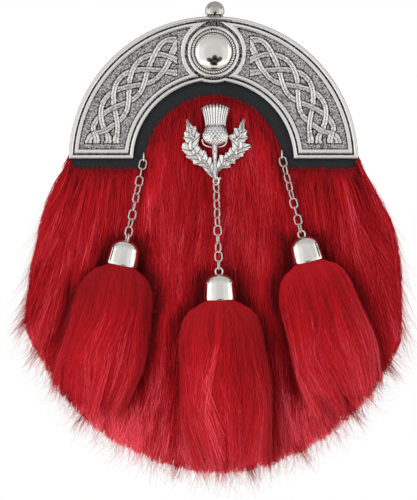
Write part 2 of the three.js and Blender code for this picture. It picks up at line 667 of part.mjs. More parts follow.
// From a staple's middle down to the first link's wire, which sits halfway out along the bend
const stapleRoom = STAPLE.radius * Math.cos(radians(STAPLE.linkTurn)) - WIRE - 1.5 * GAP;
const hollows = [badgePost(GAP)];
for (const drop of DROPS) {
  const hangsOnBadge = drop.side === "centre";
  drop.z = hangsOnBadge ? BADGE_Z + BADGE.leaf : PANEL_FRONT_Z + GAP + STAPLE.radius / 2;
  const groups = dropGroups(drop);
  groups.chainGroup.add(node(`chain_${drop.side}`, chain(drop), NICKEL));
  groups.tasselGroup.add(node(`tassel_cap_${drop.side}`, cap(drop), NICKEL));
  groups.tasselGroup.add(node(`tassel_hair_${drop.side}`, tassel(drop.size), FUR_RED));
  sporran.add(groups.chainGroup);
  hollows.push(...dropRoom(drop, groups));
  if (!hangsOnBadge) {
    const holder = node(`chain_staple_${drop.side}`, staple(), NICKEL);
    holder.position.set(drop.x, drop.y + stapleRoom, PANEL_FRONT_Z + GAP);
    sporran.add(holder);
  }
}

sporran.add(node("fur_front", fur(hollows), FUR_RED));

sporran.rotation.x = Math.PI / 2;
const whole = new THREE.Group();
whole.add(sporran);
export default whole;
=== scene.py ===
# %% [markdown]
# A sporran is the pouch worn at the front of a kilt. This dress pattern has a leather pouch with
# long red fur on its front, a cast metal arch called a cantle, a thistle badge, and three hair
# tassels that swing on chains. The frame gives the plain solids. This lesson makes the pieces
# that show: fine relief, polished metal, grained leather and combed hair.

import math

import bpy
import numpy as np
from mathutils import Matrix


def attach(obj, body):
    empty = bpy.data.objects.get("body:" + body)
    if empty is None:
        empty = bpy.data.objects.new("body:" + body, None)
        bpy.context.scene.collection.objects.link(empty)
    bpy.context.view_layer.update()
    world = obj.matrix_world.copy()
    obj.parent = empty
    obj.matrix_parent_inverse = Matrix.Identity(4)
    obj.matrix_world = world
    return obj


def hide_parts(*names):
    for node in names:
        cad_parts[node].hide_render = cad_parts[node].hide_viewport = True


SEED = 1747
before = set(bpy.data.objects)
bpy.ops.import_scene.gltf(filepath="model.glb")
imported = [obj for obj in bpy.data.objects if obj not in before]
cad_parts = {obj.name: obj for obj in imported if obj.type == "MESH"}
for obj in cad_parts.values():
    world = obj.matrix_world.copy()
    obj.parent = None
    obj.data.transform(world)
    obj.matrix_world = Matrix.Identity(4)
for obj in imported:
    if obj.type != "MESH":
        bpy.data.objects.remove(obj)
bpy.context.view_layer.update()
scene = bpy.context.scene
rng = np.random.default_rng(SEED)

# %% [markdown]
# Every piece is drawn in a front view in millimetres: x to the right, y up, z out of the fur.
# One helper turns that view into the frame's metres. Meshes could be built corner by corner in
# edit mode, but a surface that follows a formula is quicker as a grid of points in one array.
# So a second helper numbers the quads of a grid, and the last turns a closed surface's faces out.

# %% Surfaces from grids
MM_IN_METRE = 1000


def to_world(points):
    """Front-view millimetres (x, y, z) as frame metres (x, -z, y)."""
    return np.stack([points[..., 0], -points[..., 2], points[..., 1]], axis=-1) / MM_IN_METRE


def grid_quads(rows, columns, closed_rows=False, closed_columns=False):
    """Corner numbers of the quads of a grid; a closed direction joins its end to its start."""
    r = np.arange(rows if closed_rows else rows - 1)[:, None]
    c = np.arange(columns if closed_columns else columns - 1)[None, :]
    below, beside = (r + 1) % rows, (c + 1) % columns
    corners = (r * columns + c, r * columns + beside, below * columns + beside, below * columns + c)
    return np.stack(np.broadcast_arrays(*corners), axis=-1).reshape(-1, 4)


def tube_faces(rows, columns):
    """Faces of rings carried along a path: quads round the sides and one flat face at each end."""
    first = np.arange(columns)[None, ::-1]
    last = np.arange(columns)[None, :] + (rows - 1) * columns
    return [grid_quads(rows, columns, closed_columns=True), first, last]


def outward(points, face_sets):
    """The faces, turned round if the volume that they close in comes out negative."""
    volume = 0
    for faces in face_sets:
        corner = points[faces]
        turned = np.cross(corner[:, 1:-1], corner[:, 2:])
        volume += np.einsum("ik,ijk->", corner[:, 0], turned)
    return face_sets if volume > 0 else [faces[:, ::-1] for faces in face_sets]


print("a grid of 3 by 4 points has", len(grid_quads(3, 4)), "quads")

# %% [markdown]
# A piece is one mesh that is filled from whole arrays, which is far faster than a loop over its
# corners. It may carry a number for each point that its material reads later, such as how deep
# in a hollow the point lies. Each piece rides on the root body, and says which plain solids it
# stands in for.

# %% Pieces from surfaces
TRIANGLES = {}
SHARP_EDGE = 40  # degrees


def add_piece(name, points, face_sets, material, slot, nodes, sharp=None, **attributes):
    """One object on the root body from front-view points, faces and numbers for each point."""
    points = points.reshape(-1, 3)
    corners = np.concatenate([faces.ravel() for faces in face_sets])
    sizes = np.concatenate([np.full(len(faces), faces.shape[1]) for faces in face_sets])
    mesh = bpy.data.meshes.new(name)
    mesh.vertices.add(len(points))
    mesh.vertices.foreach_set("co", to_world(points).ravel().astype(np.float32))
    mesh.loops.add(len(corners))
    mesh.loops.foreach_set("vertex_index", corners.astype(np.int32))
    mesh.polygons.add(len(sizes))
    mesh.polygons.foreach_set("loop_start", (np.cumsum(sizes) - sizes).astype(np.int32))
    mesh.polygons.foreach_set("use_smooth", np.ones(len(sizes), dtype=bool))
    mesh.update(calc_edges=True)
    if sharp:
        mesh.set_sharp_from_angle(angle=math.radians(sharp))
    for key, values in attributes.items():
        layer = mesh.attributes.new(key, "FLOAT", "POINT")
        layer.data.foreach_set("value", np.ravel(values).astype(np.float32))
    mesh.materials.append(material)
    piece = bpy.data.objects.new(name, mesh)
    scene.collection.objects.link(piece)
    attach(piece, "root")
    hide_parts(*nodes)
    TRIANGLES[name] = int((sizes - 2).sum())
    print(name, "triangles", TRIANGLES[name])


def add_solid(name, points, face_sets, *rest, sharp=SHARP_EDGE, **attributes):
    """A closed piece: its faces are turned outwards and its sharp edges are kept."""
    points = points.reshape(-1, 3)
    add_piece(name, points, outward(points, face_sets), *rest, sharp=sharp, **attributes)


def add_rings(name, rings, *rest, **options):
    """A closed piece from rings along a path, with a flat face at each end."""
    add_solid(name, rings, tube_faces(*rings.shape[:2]), *rest, **options)


def joined(parts):
    """Several (points, face sets) as one, with the later corner numbers moved up."""
    points, face_sets, start = [], [], 0
    for part, faces in parts:
        part = part.reshape(-1, 3)
        points.append(part)
        face_sets += [f + start for f in outward(part, faces)]
        start += len(part)
    return np.concatenate(points), face_sets


print("pieces so far", len(TRIANGLES))

# %% [markdown]
# A material is a tree of nodes. It could be wired by hand, but arithmetic reads better as
# arithmetic. The small class below wraps one socket, so that sums and products are written as
# ordinary Python and each becomes a Math node. One more method adds any other node.

# %% Shader arithmetic


class Shade:
    """A node socket in a tree, with arithmetic."""

    def __init__(self, tree, socket=None):
        self.tree = tree
        self.socket = socket

    def node(self, kind, settings=None, inputs=None, output=0):
        """Any node: its settings are set first, then its sockets get values or links."""
        made = self.tree.nodes.new(kind)
        for key, value in (settings or {}).items():
            setattr(made, key, value)
        for key, value in (inputs or {}).items():
            if isinstance(value, Shade):
                self.tree.links.new(value.socket, made.inputs[key])
            else:
                made.inputs[key].default_value = value
        return Shade(self.tree, made.outputs[output] if made.outputs else None)

    def math(self, operation, *values):
        """A Math node on sockets and plain numbers."""
        return self.node("ShaderNodeMath", {"operation": operation}, dict(enumerate(values)))

    def __add__(self, other):
        return self.math("ADD", self, other)

    def __radd__(self, other):
        return self.math("ADD", other, self)

    def __sub__(self, other):
        return self.math("SUBTRACT", self, other)

    def __rsub__(self, other):
        return self.math("SUBTRACT", other, self)

    def __mul__(self, other):
        return self.math("MULTIPLY", self, other)

    def __rmul__(self, other):
        return self.math("MULTIPLY", other, self)

    def __pow__(self, other):
        return self.math("POWER", self, other)

    def ramp(self, low, high):
        """0 below low, 1 above high, and a smooth step between."""
        settings = {"interpolation_type": "SMOOTHSTEP"}
        return self.node("ShaderNodeMapRange", settings, {"Value": self, 1: low, 2: high})

    def mix(self, first, second):
        """The first colour where this socket is 0 and the second where it is 1."""
        settings = {"data_type": "RGBA", "clamp_factor": True}
        return self.node("ShaderNodeMix", settings, {0: self, 6: first, 7: second}, output=2)


print("operators", [name for name in vars(Shade) if name[2:-2] in ("add", "sub", "mul", "pow")])

# %% [markdown]
# With the class, the usual steps of a material become short helpers: a colour as it looks on
# screen, an empty tree, the shader itself, a bump, a pattern of cells, a cloudy noise, and the
# number that a piece stores on its points. Patterns are sized in millimetres on the object, so
# that a grain keeps its size on every piece.

# %% Material helpers


def linear(red, green, blue):
    """A colour given as 0 to 255 on screen, as the linear values that a shader takes."""
    share = np.array([red, green, blue]) / 255
    low, high = share / 12.92, ((share + 0.055) / 1.055) ** 2.4
    return (*np.where(share <= 0.04045, low, high), 1)


def new_material(name):
    """A material with an empty tree, and the tree's Object coordinates."""
    material = bpy.data.materials.new(name)
    material.use_nodes = True
    tree = material.node_tree
    tree.nodes.clear()
    start = Shade(tree)
    return material, start, start.node("ShaderNodeTexCoord", output="Object")


def surface(start, inputs):
    """The Principled shader with these inputs, joined to the material's output."""
    shader = start.node("ShaderNodeBsdfPrincipled", None, inputs, output="BSDF")
    start.node("ShaderNodeOutputMaterial", None, {"Surface": shader})


def bumped(height, strength, distance_mm):
    """A normal tilted by a height, as if the height were this deep."""
    inputs = {"Height": height, "Strength": strength, "Distance": distance_mm / MM_IN_METRE}
    return height.node("ShaderNodeBump", None, inputs, output="Normal")


def cells(position, size_mm):
    """Distance from the middle of the nearest of many small cells."""
    inputs = {"Vector": position, "Scale": MM_IN_METRE / size_mm}
    return position.node("ShaderNodeTexVoronoi", {"feature": "F1"}, inputs, output="Distance")


def noise(position, size_mm):
    """A soft cloudy pattern."""
    inputs = {"Vector": position, "Scale": MM_IN_METRE / size_mm, "Detail": 3}
    return position.node("ShaderNodeTexNoise", None, inputs, output="Fac")


def attribute(start, name):
    """The number of this name that a piece stores on its points."""
    return start.node("ShaderNodeAttribute", {"attribute_name": name}, output="Fac")


print("mid grey is", np.round(linear(128, 128, 128), 3))

# %% [markdown]
# The pouch is black leather with a fine pebble grain and slow creases, and its thread is greyer.
# A photograph of leather could be wrapped round it, but a grain made of cells has no seams and
# looks right from close by. The grain tints the colour and lifts the surface a little.

# %% Leather and thread
LEATHER_DARK, LEATHER_LIGHT = linear(16, 17, 20), linear(34, 35, 38)
THREAD_DARK, THREAD_LIGHT = linear(62, 61, 60), linear(92, 90, 88)
GRAIN_MM, CREASE_MM = 0.9, 9


def leather_material(name, dark, light):
    """Pebbles of grain over slow creases, in the colour and in the bump."""
    material, start, position = new_material(name)
    grain = cells(position, GRAIN_MM)
    creases = noise(position, CREASE_MM)
    surface(start, {
        "Base Color": (0.6 * grain + 0.5 * creases).mix(dark, light),
        "Roughness": 0.5 + 0.2 * creases,
        "Specular IOR Level": 0.25,
        "Normal": bumped(grain + 0.6 * creases, 0.35, 0.15),
    })
    return material


LEATHER = leather_material("black_leather", LEATHER_DARK, LEATHER_LIGHT)
THREAD = leather_material("black_thread", THREAD_DARK, THREAD_LIGHT)
print("finishes", LEATHER.name, THREAD.name)

# %% [markdown]
# The cast metal is blackened and then rubbed bright on its high parts. Its colour follows a
# number stored on each point: 0 on the heights and 1 in the hollows. On the collar and on parts of
# the thistle the same number also carries painted shade. Shallow hollows also carry a punched
# stipple, whose raised dots are rubbed bright again. Plated metal is nearly a mirror, so it needs
# little more than a colour, and a second number paints shade on it, making the ball and the
# chains a shade darker.

# %% Cast and plated metal
PEWTER_BRIGHT, PEWTER_DARK = linear(250, 248, 244), linear(44, 43, 42)
BADGE_BRIGHT = linear(255, 253, 250)
PLATE_BRIGHT, PLATE_DULL = linear(240, 238, 233), linear(226, 222, 215)
PLATE_SHADE = linear(196, 193, 186)
CANTLE_STIPPLE_MM, BADGE_STIPPLE_MM = 0.78, 0.5
CLOUD_MM, HAZE_MM = 5, 6


def cast_material(name, stipple_mm, bright):
    """The stored recess, which on a few pieces also holds painted shade, darkens the metal, and a stipple
    breaks the dark up where it isn't deep.
    """
    material, start, position = new_material(name)
    recess = attribute(start, "recess")
    pebble = 1 - cells(position, stipple_mm).ramp(0.1, 0.8)
    cloud = noise(position, CLOUD_MM)
    deep = recess.ramp(0.62, 0.95)
    tarnish = recess * (1.3 - 1.15 * pebble * (1 - deep)) + 0.06 * cloud
    surface(start, {
        "Base Color": tarnish.mix(bright, PEWTER_DARK),
        "Metallic": 1.0,
        "Roughness": 0.2 + 0.25 * recess + 0.08 * cloud,
        "Normal": bumped(recess * pebble + 0.05 * cloud, 0.5, 0.25),
    })
    return material


def plate_material(name):
    """A clear mirror with a faint haze, darkened where a stored number paints shade."""
    material, start, position = new_material(name)
    haze = noise(position, HAZE_MM)
    plain = haze.mix(PLATE_BRIGHT, PLATE_DULL)
    surface(start, {
        "Base Color": attribute(start, "dull").mix(plain, PLATE_SHADE),
        "Metallic": 1.0,
        "Roughness": 0.06 + 0.06 * haze,
    })
    return material


PEWTER = cast_material("cast_metal", CANTLE_STIPPLE_MM, PEWTER_BRIGHT)
BADGE_METAL = cast_material("badge_metal", BADGE_STIPPLE_MM, BADGE_BRIGHT)
PLATE = plate_material("polished_metal")
print("finishes", PEWTER.name, BADGE_METAL.name, PLATE.name)

# %% [markdown]
# Hair is coloured by a number too: low at dark roots and high at pale tips. The root red is partly
# painted shade, and the pale pink tip red partly painted sheen. Blender has a hair shader, but it
# is meant for curves and other programs don't know it, so the plain shader is used with a soft
# roughness and a trace of sheen.

# %% Hair
# The root red also serves painted shade and the tip red painted sheen.
HAIR_ROOT_AND_SHADE, HAIR_MID, HAIR_TIP_AND_SHEEN = linear(86, 2, 6), linear(174, 14, 24), linear(245, 84, 99)


def hair_material(name):
    """Three reds along the stored shade: roots, middle and tips, with painted shade in the roots' red and
    painted sheen in the tips'.
    """
    material, start, _ = new_material(name)
    shade = attribute(start, "shade")
    low = shade.ramp(0.0, 0.55).mix(HAIR_ROOT_AND_SHADE, HAIR_MID)
    surface(start, {
        "Base Color": shade.ramp(0.5, 1.0).mix(low, HAIR_TIP_AND_SHEEN),
        "Roughness": 0.7 - 0.1 * shade,
        "Specular IOR Level": 0.12,
        "Sheen Weight": 0.06,
        "Sheen Roughness": 0.5,
    })
    return material


HAIR = hair_material("red_hair")
FUR = hair_material("red_fur")
print("finishes", HAIR.name, FUR.name)

# %% [markdown]
# Some shapes come back again and again. A relief is a height for each point, and smooth steps
# and rounded ridges draw it, as a carver's gouges do. A slab closes a relief with a flat back.

# %% Relief helpers


def smooth(low, high, value):
    """0 at low, 1 at high, and a smooth step between; low may also be the larger one."""
    share = np.clip((value - low) / (high - low), 0, 1)
    return share * share * (3 - 2 * share)


def rounded(distance, soft):
    """A quarter circle: 0 at an edge, 1 from soft inwards."""
    return np.sqrt(1 - (1 - np.clip(distance / soft, 0, 1)) ** 2)


def ridge(distance, start, end, soft):
    """1 between start and end, with both sides rounded over."""
    return np.minimum(rounded(distance - start, soft), rounded(end - distance, soft))


def slab(x, y, top, back):
    """A relief's rows, each closed by two corners on a flat back."""
    front = np.stack([x, y, top], axis=-1)
    behind = np.stack([x[:, [-1, 0]], y[:, [-1, 0]], np.full((len(x), 2), back)], axis=-1)
    return np.concatenate([front, behind], axis=1)


def slab_number(number):
    """A relief's number with the same value carried to the two back corners."""
    return np.concatenate([number, number[:, [-1, 0]]], axis=1)


print("a ridge from its edge to its middle", np.round(ridge(np.linspace(0, 1, 5), 0, 2, 1), 2))

# %% [markdown]
# Lines need helpers as well. A spline runs smoothly through a few points. A lathe turns a
# profile about an axis, as a metal spinner does. A wire carries a small circle along a line.
# Blender's curves and its screw modifier could do the same, but as arrays the points stay at
# hand for colours and for bending.

# %% Line helpers
AXIS = 0.05  # a profile starts this near to the axis, so that the lathe's end is a small ring
QUARTER = np.pi / 2 - 0.01  # a quarter turn that stops just short of the axis


def unit(vectors):
    """The same directions, each with a length of 1."""
    return vectors / np.linalg.norm(vectors, axis=-1, keepdims=True)


def circle(count):
    """Angles at equal steps round a full turn."""
    return np.linspace(0, 2 * np.pi, count, endpoint=False)


def travelled(run):
    """The length of a run of points up to each of them."""
    return np.concatenate([[0], np.cumsum(np.linalg.norm(np.diff(run, axis=0), axis=1))])


def spline(points, count):
    """A smooth open run: cubic pieces whose slope at each point is half the step across it."""
    points = np.asarray(points, dtype=float)
    slope = np.gradient(points, axis=0)
    place = np.linspace(0, len(points) - 1, count)
    start = np.minimum(place.astype(int), len(points) - 2)
    t = (place - start)[:, None]
    ahead = t * t * (3 - 2 * t)
    bend = slope[start] * (t - 2 * t**2 + t**3) + slope[start + 1] * (t**3 - t**2)
    return points[start] * (1 - ahead) + points[start + 1] * ahead + bend


def lathe(profile, sides):
    """Rings (radius cos a, height, radius sin a) for each row of a profile of radius and height."""
    radius, height = np.asarray(profile, dtype=float).T[..., None]
    turn = circle(sides)
    rings = (radius * np.cos(turn), height + 0 * turn, radius * np.sin(turn))
    return np.stack(rings, axis=-1)


def wire(path, radius, sides, closed):
    """A circle across the path at each of its points; the first axis is across path and z."""
    along = (np.roll(path, -1, 0) - np.roll(path, 1, 0)) if closed else np.gradient(path, axis=0)
    along = unit(along)
    helper = np.where(np.abs(along[:, 2:]) > 0.9, [[1.0, 0, 0]], [[0, 0, 1.0]])
    across = unit(np.cross(along, helper))
    over = np.cross(across, along)
    turn = circle(sides)[:, None]
    ring = across[:, None] * np.cos(turn) + over[:, None] * np.sin(turn)
    return path[:, None] + radius * ring


print("a lathe with 3 rows and 8 sides makes", lathe([(1, 0), (2, 1), (1, 2)], 8).shape)

# %% [markdown]
# The pouch is two leather panels joined by a strip called a gusset, which gives it its depth.
# On the real thing they are cut from hide and sewn edge to edge. A flat face could be extruded
# for a panel, but the front one bellies out a little under the fur. So each panel is an outline
# filled with shrinking rings, and its last rings turn over a rounded edge.

# %% The pouch's outline
ARCH_Y = -24.2
POUCH_RADIUS = 75
POUCH_SIDES = [(0, -170), (47, -158), (73, -136), (85, -108), (85.5, -80), (80, -50), (75, ARCH_Y)]
SIDE_STEPS, ARC_POINTS = 15, 60


def pouch_outline():
    """The panel's right half from the bottom to the top: a smooth side, then an arc."""
    before = (-POUCH_SIDES[1][0], POUCH_SIDES[1][1])
    side = spline([before, *POUCH_SIDES], SIDE_STEPS * len(POUCH_SIDES) + 1)[SIDE_STEPS:]
    turn = np.linspace(0, np.pi / 2, ARC_POINTS)[1:]
    arc = np.stack([POUCH_RADIUS * np.cos(turn), ARCH_Y + POUCH_RADIUS * np.sin(turn)], axis=-1)
    return np.concatenate([side, arc])


def mirrored(half):
    """A closed loop from its right half, which runs from the bottom to the top."""
    left = half[-2:0:-1] * [-1, 1]
    return np.concatenate([half, left])


half_outline = pouch_outline()
print("widest at", round(2 * float(half_outline[:, 0].max()), 1), "mm")

# %% Leather panels
GAP = 0.3
LEATHER_THICK = 2
PANEL_BACK = 28.6
PANEL_FRONT = PANEL_BACK + LEATHER_THICK
MOUTH_Y, MOUTH_POINTS = 23.5, 24
CENTRE = np.array([0.0, -95.0])
BELLY_WIDE, BELLY_HIGH, BELLY_Y, BELLY_RISE = 82, 66, -102, 7
PANEL_SHARES = np.array([0.02, 0.2, 0.4, 0.6, 0.8, 0.93])
EDGE_STEPS = 7


def belly(x, y):
    """The front panel's swell: a smooth mound of 7 mm over an ellipse."""
    reach = (x / BELLY_WIDE) ** 2 + ((y - BELLY_Y) / BELLY_HIGH) ** 2
    return BELLY_RISE * np.clip(1 - reach, 0, None) ** 2


def panel(loop, back, front, swell):
    """Rings from the middle of the back, out round a rounded edge, to the middle of the front."""
    turn = np.linspace(-np.pi / 2, np.pi / 2, EDGE_STEPS)
    half = (front - back) / 2
    margin = half * (1 - np.cos(turn))
    flat = CENTRE + PANEL_SHARES[:, None, None] * (loop - CENTRE)
    rim = loop - margin[:, None, None] * unit(loop - CENTRE)
    rings = np.concatenate([flat, rim, flat[::-1]])
    edge_levels = (front + back) / 2 + half * np.sin(turn)
    levels = np.concatenate([0 * PANEL_SHARES + back, edge_levels, 0 * PANEL_SHARES + front])
    z = levels[:, None] + swell(rings[..., 0], rings[..., 1])
    return np.concatenate([rings, z[..., None]], axis=-1)


front_rings = panel(mirrored(half_outline), PANEL_BACK, PANEL_FRONT, belly)
add_rings("front_leather", front_rings, LEATHER, "black_leather", ["front_panel"])

mouth_half = math.sqrt(POUCH_RADIUS**2 - (MOUTH_Y - ARCH_Y) ** 2)
low_half = half_outline[half_outline[:, 1] < MOUTH_Y]
mouth_x = np.linspace(mouth_half, 0, MOUTH_POINTS)
mouth = np.stack([mouth_x, np.full(MOUTH_POINTS, MOUTH_Y)], axis=-1)
back_loop = mirrored(np.concatenate([low_half, mouth]))
back_rings = panel(back_loop, 0, LEATHER_THICK, lambda x, y: 0 * x)
add_rings("back_leather", back_rings, LEATHER, "black_leather", ["back_panel"])

# %% [markdown]
# The gusset is one long strip that runs down one side, round the bottom and up the other. A
# sporran's gusset folds in along its middle, so that the pouch can be squeezed flat. Cloth
# simulation could fold it, but the fold is even all the way round, so a section that dips
# between two lips is carried along the outline instead.

# %% Gusset
GUSSET_BACK, GUSSET_FRONT, GUSSET_INSET, GUSSET_THICK = 2.3, 28.3, 1.0, 1.6
FOLD_DEPTH, FOLD_STEPS = 4.5, 15


def gusset_rings(run):
    """At each point of the run: the outer face from back to front, then the inner face."""
    way = unit(np.gradient(run, axis=0))
    inward = np.stack([-way[:, 1], way[:, 0]], axis=-1)
    share = np.linspace(0, 1, FOLD_STEPS)
    fold = FOLD_DEPTH * np.sin(np.pi * share) ** 2
    depth = np.concatenate([GUSSET_INSET + fold, GUSSET_INSET + GUSSET_THICK + fold[::-1]])
    z = np.concatenate([share, share[::-1]]) * (GUSSET_FRONT - GUSSET_BACK) + GUSSET_BACK
    flat = run[:, None] + depth[None, :, None] * inward[:, None]
    return np.concatenate([flat, np.broadcast_to(z, flat.shape[:2])[..., None]], axis=-1)


gusset_run = np.concatenate([low_half[:0:-1] * [-1, 1], low_half])
add_rings("gusset_leather", gusset_rings(gusset_run), LEATHER, "black_leather", ["gusset"])
print("gusset strip", round(float(travelled(gusset_run)[-1])), "mm long")

# %% [markdown]
# Two leather loops on the back take the waist strap. Each is a strip with its ends sewn down and
# its middle raised. A bent plate would have sharp edges, so the strip's middle line is drawn from
# the side, and a flat section with round edges is carried along it.

# %% Strap loops
LOOP_X, LOOP_WIDTH, LOOP_THICK = 42, 16, 2
LOOP_STEPS, LOOP_SIDES = 90, 28
LOOP_LINE = [
    # y, z from the foot of the lower half to the middle
    (-21, -1.3), (-17, -1.3), (-14.4, -1.5), (-13.2, -3.2),
    (-12.4, -6), (-10.6, -7.3), (-7, -7.3), (0, -7.3),
]


def loop_rings(x):
    """A stadium section across the loop's side-view line."""
    half = np.array(LOOP_LINE)
    line = spline(np.concatenate([half, half[-2::-1] * [-1, 1]]), LOOP_STEPS)
    way = unit(np.gradient(line, axis=0))
    normal = np.stack([-way[:, 1], way[:, 0]], axis=-1)
    turn = circle(LOOP_SIDES)
    bulge = LOOP_THICK / 2
    across = bulge * np.cos(turn) + np.sign(np.cos(turn)) * (LOOP_WIDTH / 2 - bulge)
    over = bulge * np.sin(turn)
    flat = line[:, None] + over[None, :, None] * normal[:, None]
    return np.concatenate([np.broadcast_to(x + across, flat.shape[:2])[..., None], flat], axis=-1)


for side, name in ((-1, "left"), (1, "right")):
    add_rings(f"loop_leather_{name}", loop_rings(side * LOOP_X), LEATHER,
              "black_leather", [f"strap_loop_{name}"])

# %% [markdown]
# Stitches hold the back together. A stitch is a short thread that dips at both ends. A bump in
# the leather could fake it, but real thread catches the light from the side. One capsule is
# drawn and copied to every place along the seam, with arrays for all of them at once.

# %% Stitches
STITCH_LENGTH, STITCH_RADIUS, STITCH_PITCH = 2.6, 0.36, 3.8
STITCH_RINGS, STITCH_SIDES = 7, 6
SEAM_INSET = 4.2


def stitches(places, ways):
    """Capsules of thread at the places, along the ways, half sunk in the back's face at z = 0."""
    share = np.linspace(-1, 1, STITCH_RINGS)
    size = STITCH_RADIUS * np.sqrt(np.clip(1 - share**6, 0.02, None))
    turn = circle(STITCH_SIDES)
    side = np.stack([-ways[:, 1], ways[:, 0]], axis=-1)
    along = share[None, :, None, None] * ways[:, None, None] * STITCH_LENGTH / 2
    across = (size[:, None] * np.cos(turn))[None, ..., None] * side[:, None, None]
    flat = places[:, None, None] + along + across
    height = np.broadcast_to(size[:, None] * np.sin(turn), flat.shape[:3])
    return np.concatenate([flat, height[..., None]], axis=-1)


def along_run(run, pitch):
    """Places at equal steps along a run of points, and the way the run goes there."""
    travel = travelled(run)
    steps = np.arange(pitch / 2, travel[-1], pitch)
    places = np.stack([np.interp(steps, travel, run[:, axis]) for axis in (0, 1)], axis=-1)
    return places, unit(np.gradient(places, axis=0))


seam = gusset_run + unit(CENTRE - gusset_run) * SEAM_INSET
capsules = stitches(*along_run(seam, STITCH_PITCH))
stitch_points, stitch_faces = joined([(c, tube_faces(STITCH_RINGS, STITCH_SIDES)) for c in capsules])
add_piece("back_stitches", stitch_points, stitch_faces, THREAD, "black_leather", ["back_panel"])
print("stitches", len(capsules))

# %% [markdown]
# The cantle is the cast arch that stiffens the pouch's top. It could be cut from a plate with
# booleans, but a casting has soft edges everywhere, and a relief gives those for nothing: it is
# a grid over the arch, and each point is raised by its own height. The grid is polar, with rows
# from foot to foot. The rows lie closer near the feet, and the inner edge dips below the medallion.

# %% Cantle grid
OUTER, INNER, FOOT_Y = 76.0, 42.0, -23.0
MEDALLION_Y, BUMP = 33.2, 16.8
ROWS, COLUMNS = 531, 101
FOOT_CLOSER = ([0, 0.1, 0.9, 1], [0, 0.04, 0.96, 1])  # share of the rows, share of the arch


def cantle_grid(rows, columns):
    """Polar grid over the arch: rows from foot to foot, columns from the inner to the outer edge."""
    even_rows, across = np.linspace(0, 1, rows)[:, None], np.linspace(0, 1, columns)[None, :]
    along = np.interp(even_rows, *FOOT_CLOSER)
    from_top = np.pi * (along - 0.5)
    rise = MEDALLION_Y - ARCH_Y
    under = np.clip(BUMP**2 - (rise * np.sin(from_top)) ** 2, 0, None)
    inner = np.where(under > 0, np.minimum(INNER, rise * np.cos(from_top) - np.sqrt(under)), INNER)
    radius = inner + (OUTER - inner) * across
    foot = np.arcsin((FOOT_Y - ARCH_Y) / radius)
    angle = foot + (np.pi - 2 * foot) * along
    return radius, angle, inner


radius, angle, inner = cantle_grid(ROWS, COLUMNS)
print("cantle points", radius.size)

# %% [markdown]
# Each half of the arch holds a plait of four strands, which a maker would cut in wax before the
# casting. A strand's middle line swings in and out like a cosine, a quarter of a swing after the
# strand before it. How far a point is from each middle line says how high it is, and a sine of
# three times the swing says which strand passes over. A sunk band runs along each strand. Near
# the feet the strands run straight.

# %% The plait
STRANDS = 4
KNOT_RADIUS, KNOT_SPREAD, KNOT_PERIOD, KNOT_FIRST = 59.1, 6.5, 52.0, 2.5
KNOT_FOOT_Y, KNOT_END_X, KNOT_HALF = -14.9, 19.2, 1.35
KNOT_FEET = [7.1, 3.1, -2.8, -7.2]
FOOT_DEGREES, WIDE_DEGREES = (9.5, 16.5), (58, 70)
WIDER, FLARE, FLARE_LENGTH = 0.4, 0.35, 3.5
STRAND_SOFT, BAND_DIP, WEAVE = 0.4, 0.5, 0.15
BAND_SIDES = (0.3, 0.62)


def strand_middles(degrees):
    """How far out the four strands' middle lines are at each angle, and the phase of their swing."""
    strand = np.arange(STRANDS)[:, None, None]
    swing = 2 * np.pi * ((degrees - KNOT_FIRST) / KNOT_PERIOD - strand / STRANDS)
    swung = KNOT_SPREAD * np.cos(swing) * (1 + WIDER * smooth(*WIDE_DEGREES, degrees))
    foot = 1 - smooth(*FOOT_DEGREES, degrees)
    middle = KNOT_RADIUS + swung * (1 - foot) + np.array(KNOT_FEET)[:, None, None] * foot
    return middle, swing


def plait(radius, angle):
    """The four strands' height, 0 to about 1, the distance out from the nearest, and their bands."""
    degrees = np.degrees(np.minimum(angle, np.pi - angle))
    x, y = np.abs(radius * np.cos(angle)), ARCH_Y + radius * np.sin(angle)
    past_end = np.maximum(KNOT_FOOT_Y - y, KNOT_END_X - x)
    half = KNOT_HALF * (1 + FLARE * np.exp(-((past_end / FLARE_LENGTH) ** 2)))
    middle, swing = strand_middles(degrees)
    one_degree = strand_middles(degrees + 0.5)[0] - strand_middles(degrees - 0.5)[0]
    slope = one_degree / np.radians(KNOT_RADIUS)
    distance = np.abs(radius - middle) / np.sqrt(1 + slope**2)
    level = -np.sin(3 * swing)
    body = rounded(half - distance, STRAND_SOFT) * smooth(0.3, -0.3, past_end)
    band = 1 - smooth(*BAND_SIDES, distance)
    body = body * (1 - WEAVE + WEAVE * level) * (1 - BAND_DIP * band)
    covers = 1 - smooth(half + 0.1, half + 0.4, distance)
    over = level[None] > level[:, None]
    shown = 1 - (covers[None] * over).max(axis=1)
    off = np.maximum((distance - half).min(axis=0), past_end)
    return (body * shown).max(axis=0), off, (band * shown * (past_end < 0)).max(axis=0)


strands, off_strand, bands = plait(radius, angle)
print("share of the cantle under strands", round(float((off_strand < 0).mean()), 2))

# %% [markdown]
# Now the heights come together: the outer rim, a groove, the raised frame of each panel, the
# ring of the medallion, and the plait. The highest of them wins at each point. A second number,
# the recess, marks the hollows that stay black when the casting is rubbed bright. It is darkest
# along the sides of the strands and in the groove.

# %% Cantle relief
CANTLE_BACK, CANTLE_FACE, CANTLE_RISE = 30.9, 32.7, 1.0
RIM, GROOVE, FRAME_WIDTH = 2.1, 0.65, 2.3
RING_INNER, RING_OUTER = 11.9, 13.65
MOAT, NOTCH_RISE, NOTCH_TURN = 15.0, 3.4, 0.27  # the moat round the ring has a notch at the top
FIELD_DARK, LINE_DARK = 0.6, 0.37
GROOVE_DARK, MOAT_DARK = 0.65, 0.5
STRAND_DARK, BAND_DARK = 0.07, 0.52

